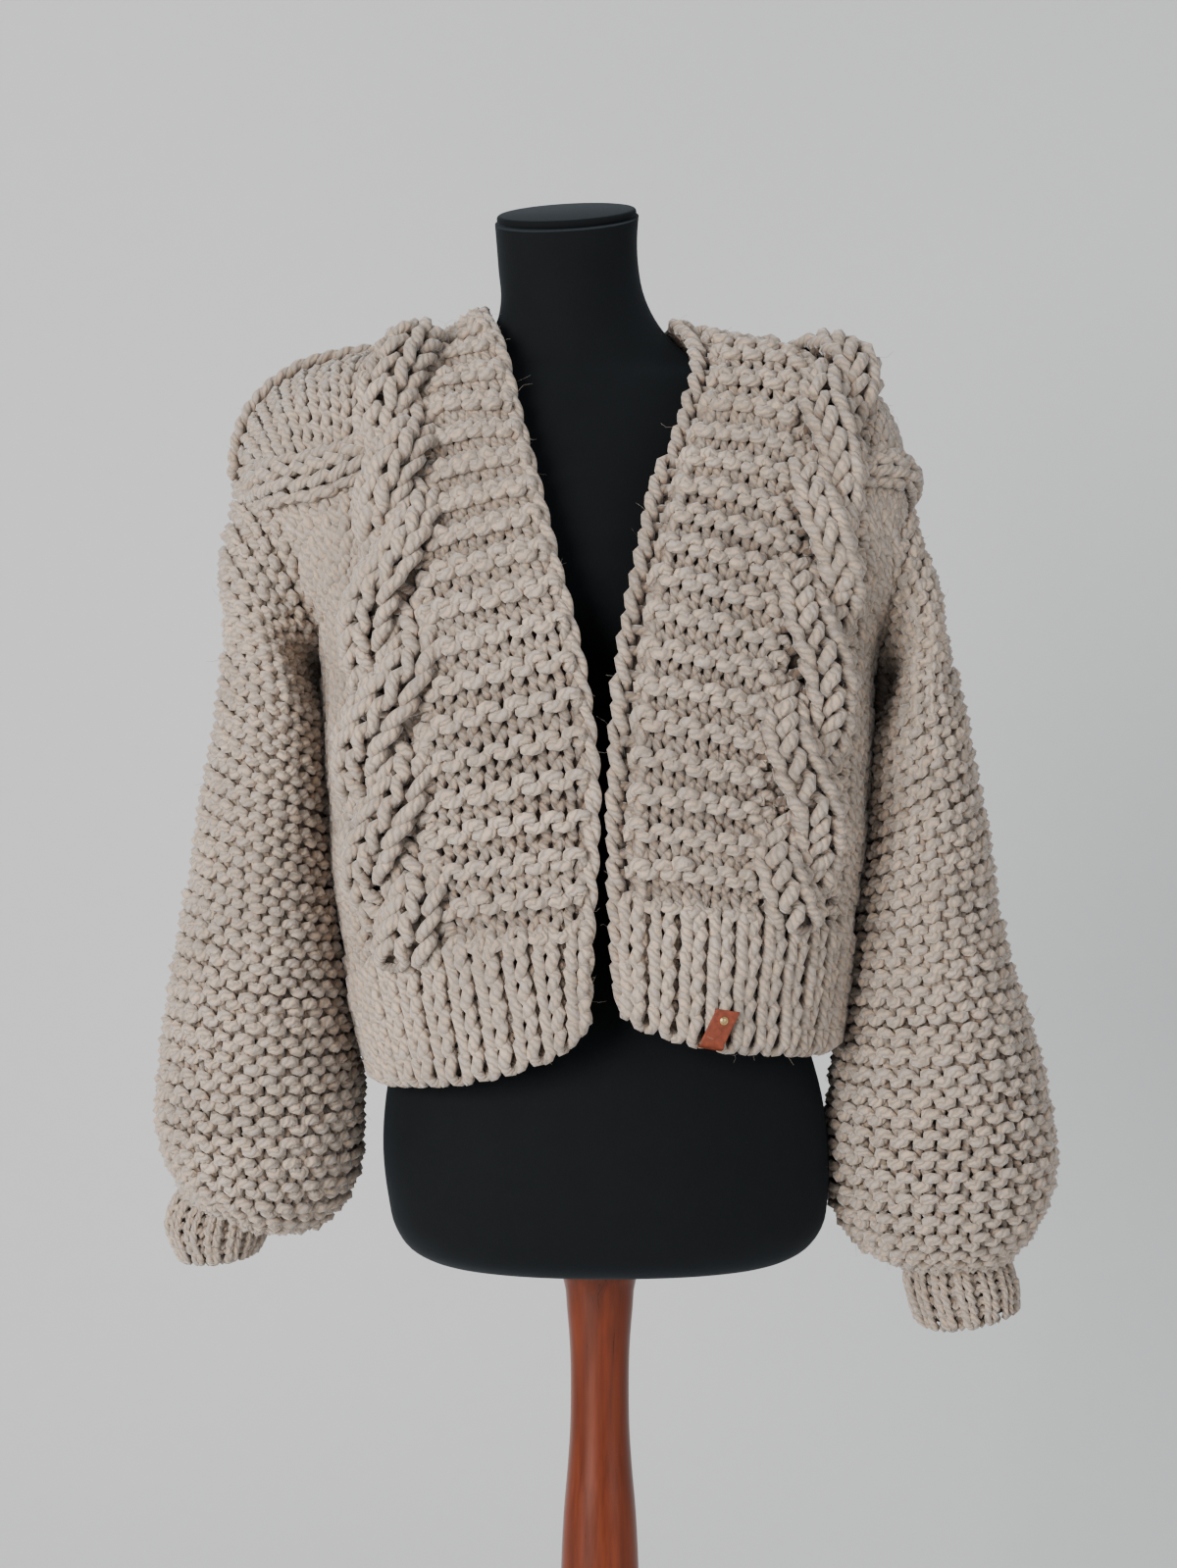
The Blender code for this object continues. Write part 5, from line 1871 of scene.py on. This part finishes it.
def label_mesh(grid, normals):
    """A slab of leather on that grid, closed all round, with its edges bevelled."""
    mesh = bmesh.new()
    layers = []
    for offset in (LABEL_THICKNESS / 2, -LABEL_THICKNESS / 2):
        layers.append([[mesh.verts.new(co) for co in row] for row in grid + normals * offset])
    rows, columns = grid.shape[:2]
    for i in range(rows - 1):
        for j in range(columns - 1):
            for layer in layers:
                corners = (layer[i][j], layer[i][j + 1], layer[i + 1][j + 1], layer[i + 1][j])
                mesh.faces.new(corners)
    rim = [(0, j) for j in range(columns)] + [(i, columns - 1) for i in range(1, rows)]
    rim += [(rows - 1, j) for j in range(columns - 2, -1, -1)]
    rim += [(i, 0) for i in range(rows - 2, 0, -1)]
    outer, inner = layers
    for (i, j), (k, m) in zip(rim, rim[1:] + rim[:1]):
        mesh.faces.new([outer[i][j], outer[k][m], inner[k][m], inner[i][j]])
    bmesh.ops.recalc_face_normals(mesh, faces=mesh.faces)
    sharp = [edge for edge in mesh.edges if edge.calc_face_angle(0.0) > LABEL_SHARP]
    bmesh.ops.bevel(
        mesh, geom=sharp, offset=LABEL_BEVEL, segments=2, profile=0.5, affect="EDGES"
    )
    return made_mesh("tab", mesh, CREASE)


class CARDIGAN_OT_label(bpy.types.Operator):
    """Folds the bare leather tab over the hem of the left front and sets its rivet."""

    bl_idname = "cardigan.label"
    bl_label = "Leather tab"

    def execute(self, context):
        form = context.scene.dress_form
        grid = label_middle(panel("hem_rib_front_left"))
        normals = -surface_normals(grid)
        tab = label_mesh(grid, normals)
        add_piece("tab", tab, leather_material(form.leather), ("label_tab",))

        row = int(round(RIVET_FROM_TOP / LABEL_FLAP * (LABEL_STEPS - 1)))
        normal = Vector(normals[row, LABEL_COLUMNS // 2])
        place = Vector(grid[row, LABEL_COLUMNS // 2]) + normal * LABEL_THICKNESS / 2
        rivet = turned("rivet", RIVET_PROFILE, RIVET_SIDES)
        turn = normal.to_track_quat("Z", "Y").to_matrix().to_4x4()
        rivet.transform(Matrix.Translation(place) @ turn)
        add_piece("rivet", rivet, brass_material(form.brass), ("label_rivet",))
        return {"FINISHED"}


class CARDIGAN_OT_stand(bpy.types.Operator):
    """Turns the pole and the round base."""

    bl_idname = "cardigan.stand"
    bl_label = "Stand"

    def execute(self, context):
        wood = wood_material(context.scene.dress_form.wood)
        rings = smooth_rows([[(ring.radius, ring.z)] for ring in POLE], POLE_STEPS)[:, 0]
        pole = turned("pole", rings.tolist(), TURNED_SIDES)
        add_piece("pole", pole, wood, ("stand_pole",))

        inner = BASE_RADIUS - BASE_EDGE
        rim_top = BASE_HEIGHT - BASE_SLOPE - BASE_EDGE
        profile = [(BASE_MIDDLE, BASE_HEIGHT), (BASE_FLAT, BASE_HEIGHT)]
        for turn in np.linspace(math.pi / 2, 0.0, BASE_EDGE_POINTS):
            out, up = BASE_EDGE * math.cos(turn), BASE_EDGE * math.sin(turn)
            profile.append((inner + out, rim_top + up))
        profile.append((BASE_RADIUS - BASE_FOOT, 0.0))
        base = turned("base", profile, TURNED_SIDES)
        add_piece("base", base, wood, ("stand_base",))
        return {"FINISHED"}


# ---- studio -----------------------------------------------------------------------------------

CAMERA_AT = (-0.0084, -1.8, 1.145)
LENS = 73.98
SENSOR = 36.0

# The backdrop: where its floor starts and its wall stands, its wall's top, and half its width.
FLOOR_FROM = -6.0
WALL_AT = 1.6
WALL_TOP = 5.0
BACKDROP_HALF_WIDTH = 6.0
BACKDROP_BEND = 0.6  # the radius between floor and wall
BACKDROP_POINTS = 13

# Each light: its name, place, target, size and colour.
KEY = ("key_light", (-1.8, -2.5, 1.55), (0, 0, 1.15), 1.6, (1.0, 0.985, 0.96))
FILL = ("fill_light", (2.2, -2.2, 1.3), (0, 0, 1.1), 1.8, (0.94, 0.97, 1.0))
SKY = (0.9, 0.95, 1.0, 1.0)


def add_light(name, place, target, size, colour, power):
    light = bpy.data.lights.new(name, "AREA")
    light.shape = "SQUARE"
    light.size = size
    light.energy = power
    light.color = colour
    obj = bpy.data.objects.new(name, light)
    obj.location = place
    bpy.context.scene.collection.objects.link(obj)
    aim = Vector(target) - obj.location
    obj.rotation_euler = aim.to_track_quat("-Z", "Y").to_euler()


class CARDIGAN_OT_studio(bpy.types.Operator):
    """Makes the camera, the pale floor and wall, and the soft light."""

    bl_idname = "cardigan.studio"
    bl_label = "Studio"

    def execute(self, context):
        studio = context.scene.studio
        camera = bpy.data.cameras.new("camera")
        camera.sensor_fit = "HORIZONTAL"
        camera.sensor_width = SENSOR
        camera.lens = LENS
        obj = bpy.data.objects.new("camera", camera)
        obj.location = CAMERA_AT
        obj.rotation_euler = (math.pi / 2, 0.0, 0.0)
        context.scene.collection.objects.link(obj)
        context.scene.camera = obj

        profile = [(FLOOR_FROM, 0.0)]
        for turn in np.linspace(0, math.pi / 2, BACKDROP_POINTS):
            y = WALL_AT - BACKDROP_BEND + BACKDROP_BEND * math.sin(turn)
            profile.append((y, BACKDROP_BEND - BACKDROP_BEND * math.cos(turn)))
        profile.append((WALL_AT, WALL_TOP))
        mesh = bmesh.new()
        left = [mesh.verts.new((-BACKDROP_HALF_WIDTH, y, z)) for y, z in profile]
        right = [mesh.verts.new((BACKDROP_HALF_WIDTH, y, z)) for y, z in profile]
        for i in range(len(profile) - 1):
            mesh.faces.new([left[i], right[i], right[i + 1], left[i + 1]])
        made = bpy.data.meshes.new("backdrop")
        mesh.to_mesh(made)
        mesh.free()
        made.shade_smooth()
        made.materials.append(wall_material(studio.wall))
        backdrop = bpy.data.objects.new("backdrop", made)
        context.scene.collection.objects.link(backdrop)

        add_light(*KEY, studio.key)
        add_light(*FILL, studio.fill)
        world = bpy.data.worlds.new("room")
        world.use_nodes = True
        shade = world.node_tree.nodes["Background"]
        shade.inputs["Color"].default_value = SKY
        shade.inputs["Strength"].default_value = studio.sky
        context.scene.world = world
        return {"FINISHED"}


# ---- add-on -----------------------------------------------------------------------------------

OPERATORS = (
    CARDIGAN_OT_studio,
    CARDIGAN_OT_form,
    CARDIGAN_OT_stand,
    CARDIGAN_OT_back,
    CARDIGAN_OT_fronts,
    CARDIGAN_OT_hem,
    CARDIGAN_OT_sleeves,
    CARDIGAN_OT_edges,
    CARDIGAN_OT_halo,
    CARDIGAN_OT_label,
)


class CARDIGAN_PT_panel(bpy.types.Panel):
    """Lists the settings and every operator, in the order in which they are run."""

    bl_label = "Knit cardigan"
    bl_idname = "CARDIGAN_PT_panel"
    bl_space_type = "VIEW_3D"
    bl_region_type = "UI"
    bl_category = "Cardigan"

    def draw(self, context):
        layout = self.layout
        scene = context.scene
        for settings in (scene.cardigan_yarn, scene.dress_form, scene.studio):
            box = layout.box()
            for name in settings.bl_rna.properties.keys():
                if name not in ("rna_type", "name"):
                    box.prop(settings, name)
        for operator in OPERATORS:
            layout.operator(operator.bl_idname)


CLASSES = (CardiganYarn, DressForm, Studio, *OPERATORS, CARDIGAN_PT_panel)


def register():
    for made in CLASSES:
        bpy.utils.register_class(made)
    bpy.types.Scene.cardigan_yarn = PointerProperty(type=CardiganYarn)
    bpy.types.Scene.dress_form = PointerProperty(type=DressForm)
    bpy.types.Scene.studio = PointerProperty(type=Studio)


def unregister():
    del bpy.types.Scene.studio
    del bpy.types.Scene.dress_form
    del bpy.types.Scene.cardigan_yarn
    for made in reversed(CLASSES):
        bpy.utils.unregister_class(made)


def main():
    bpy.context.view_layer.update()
    register()
    for operator in OPERATORS:
        group, name = operator.bl_idname.split(".")
        getattr(getattr(bpy.ops, group), name)()


if __name__ == "__main__":
    main()
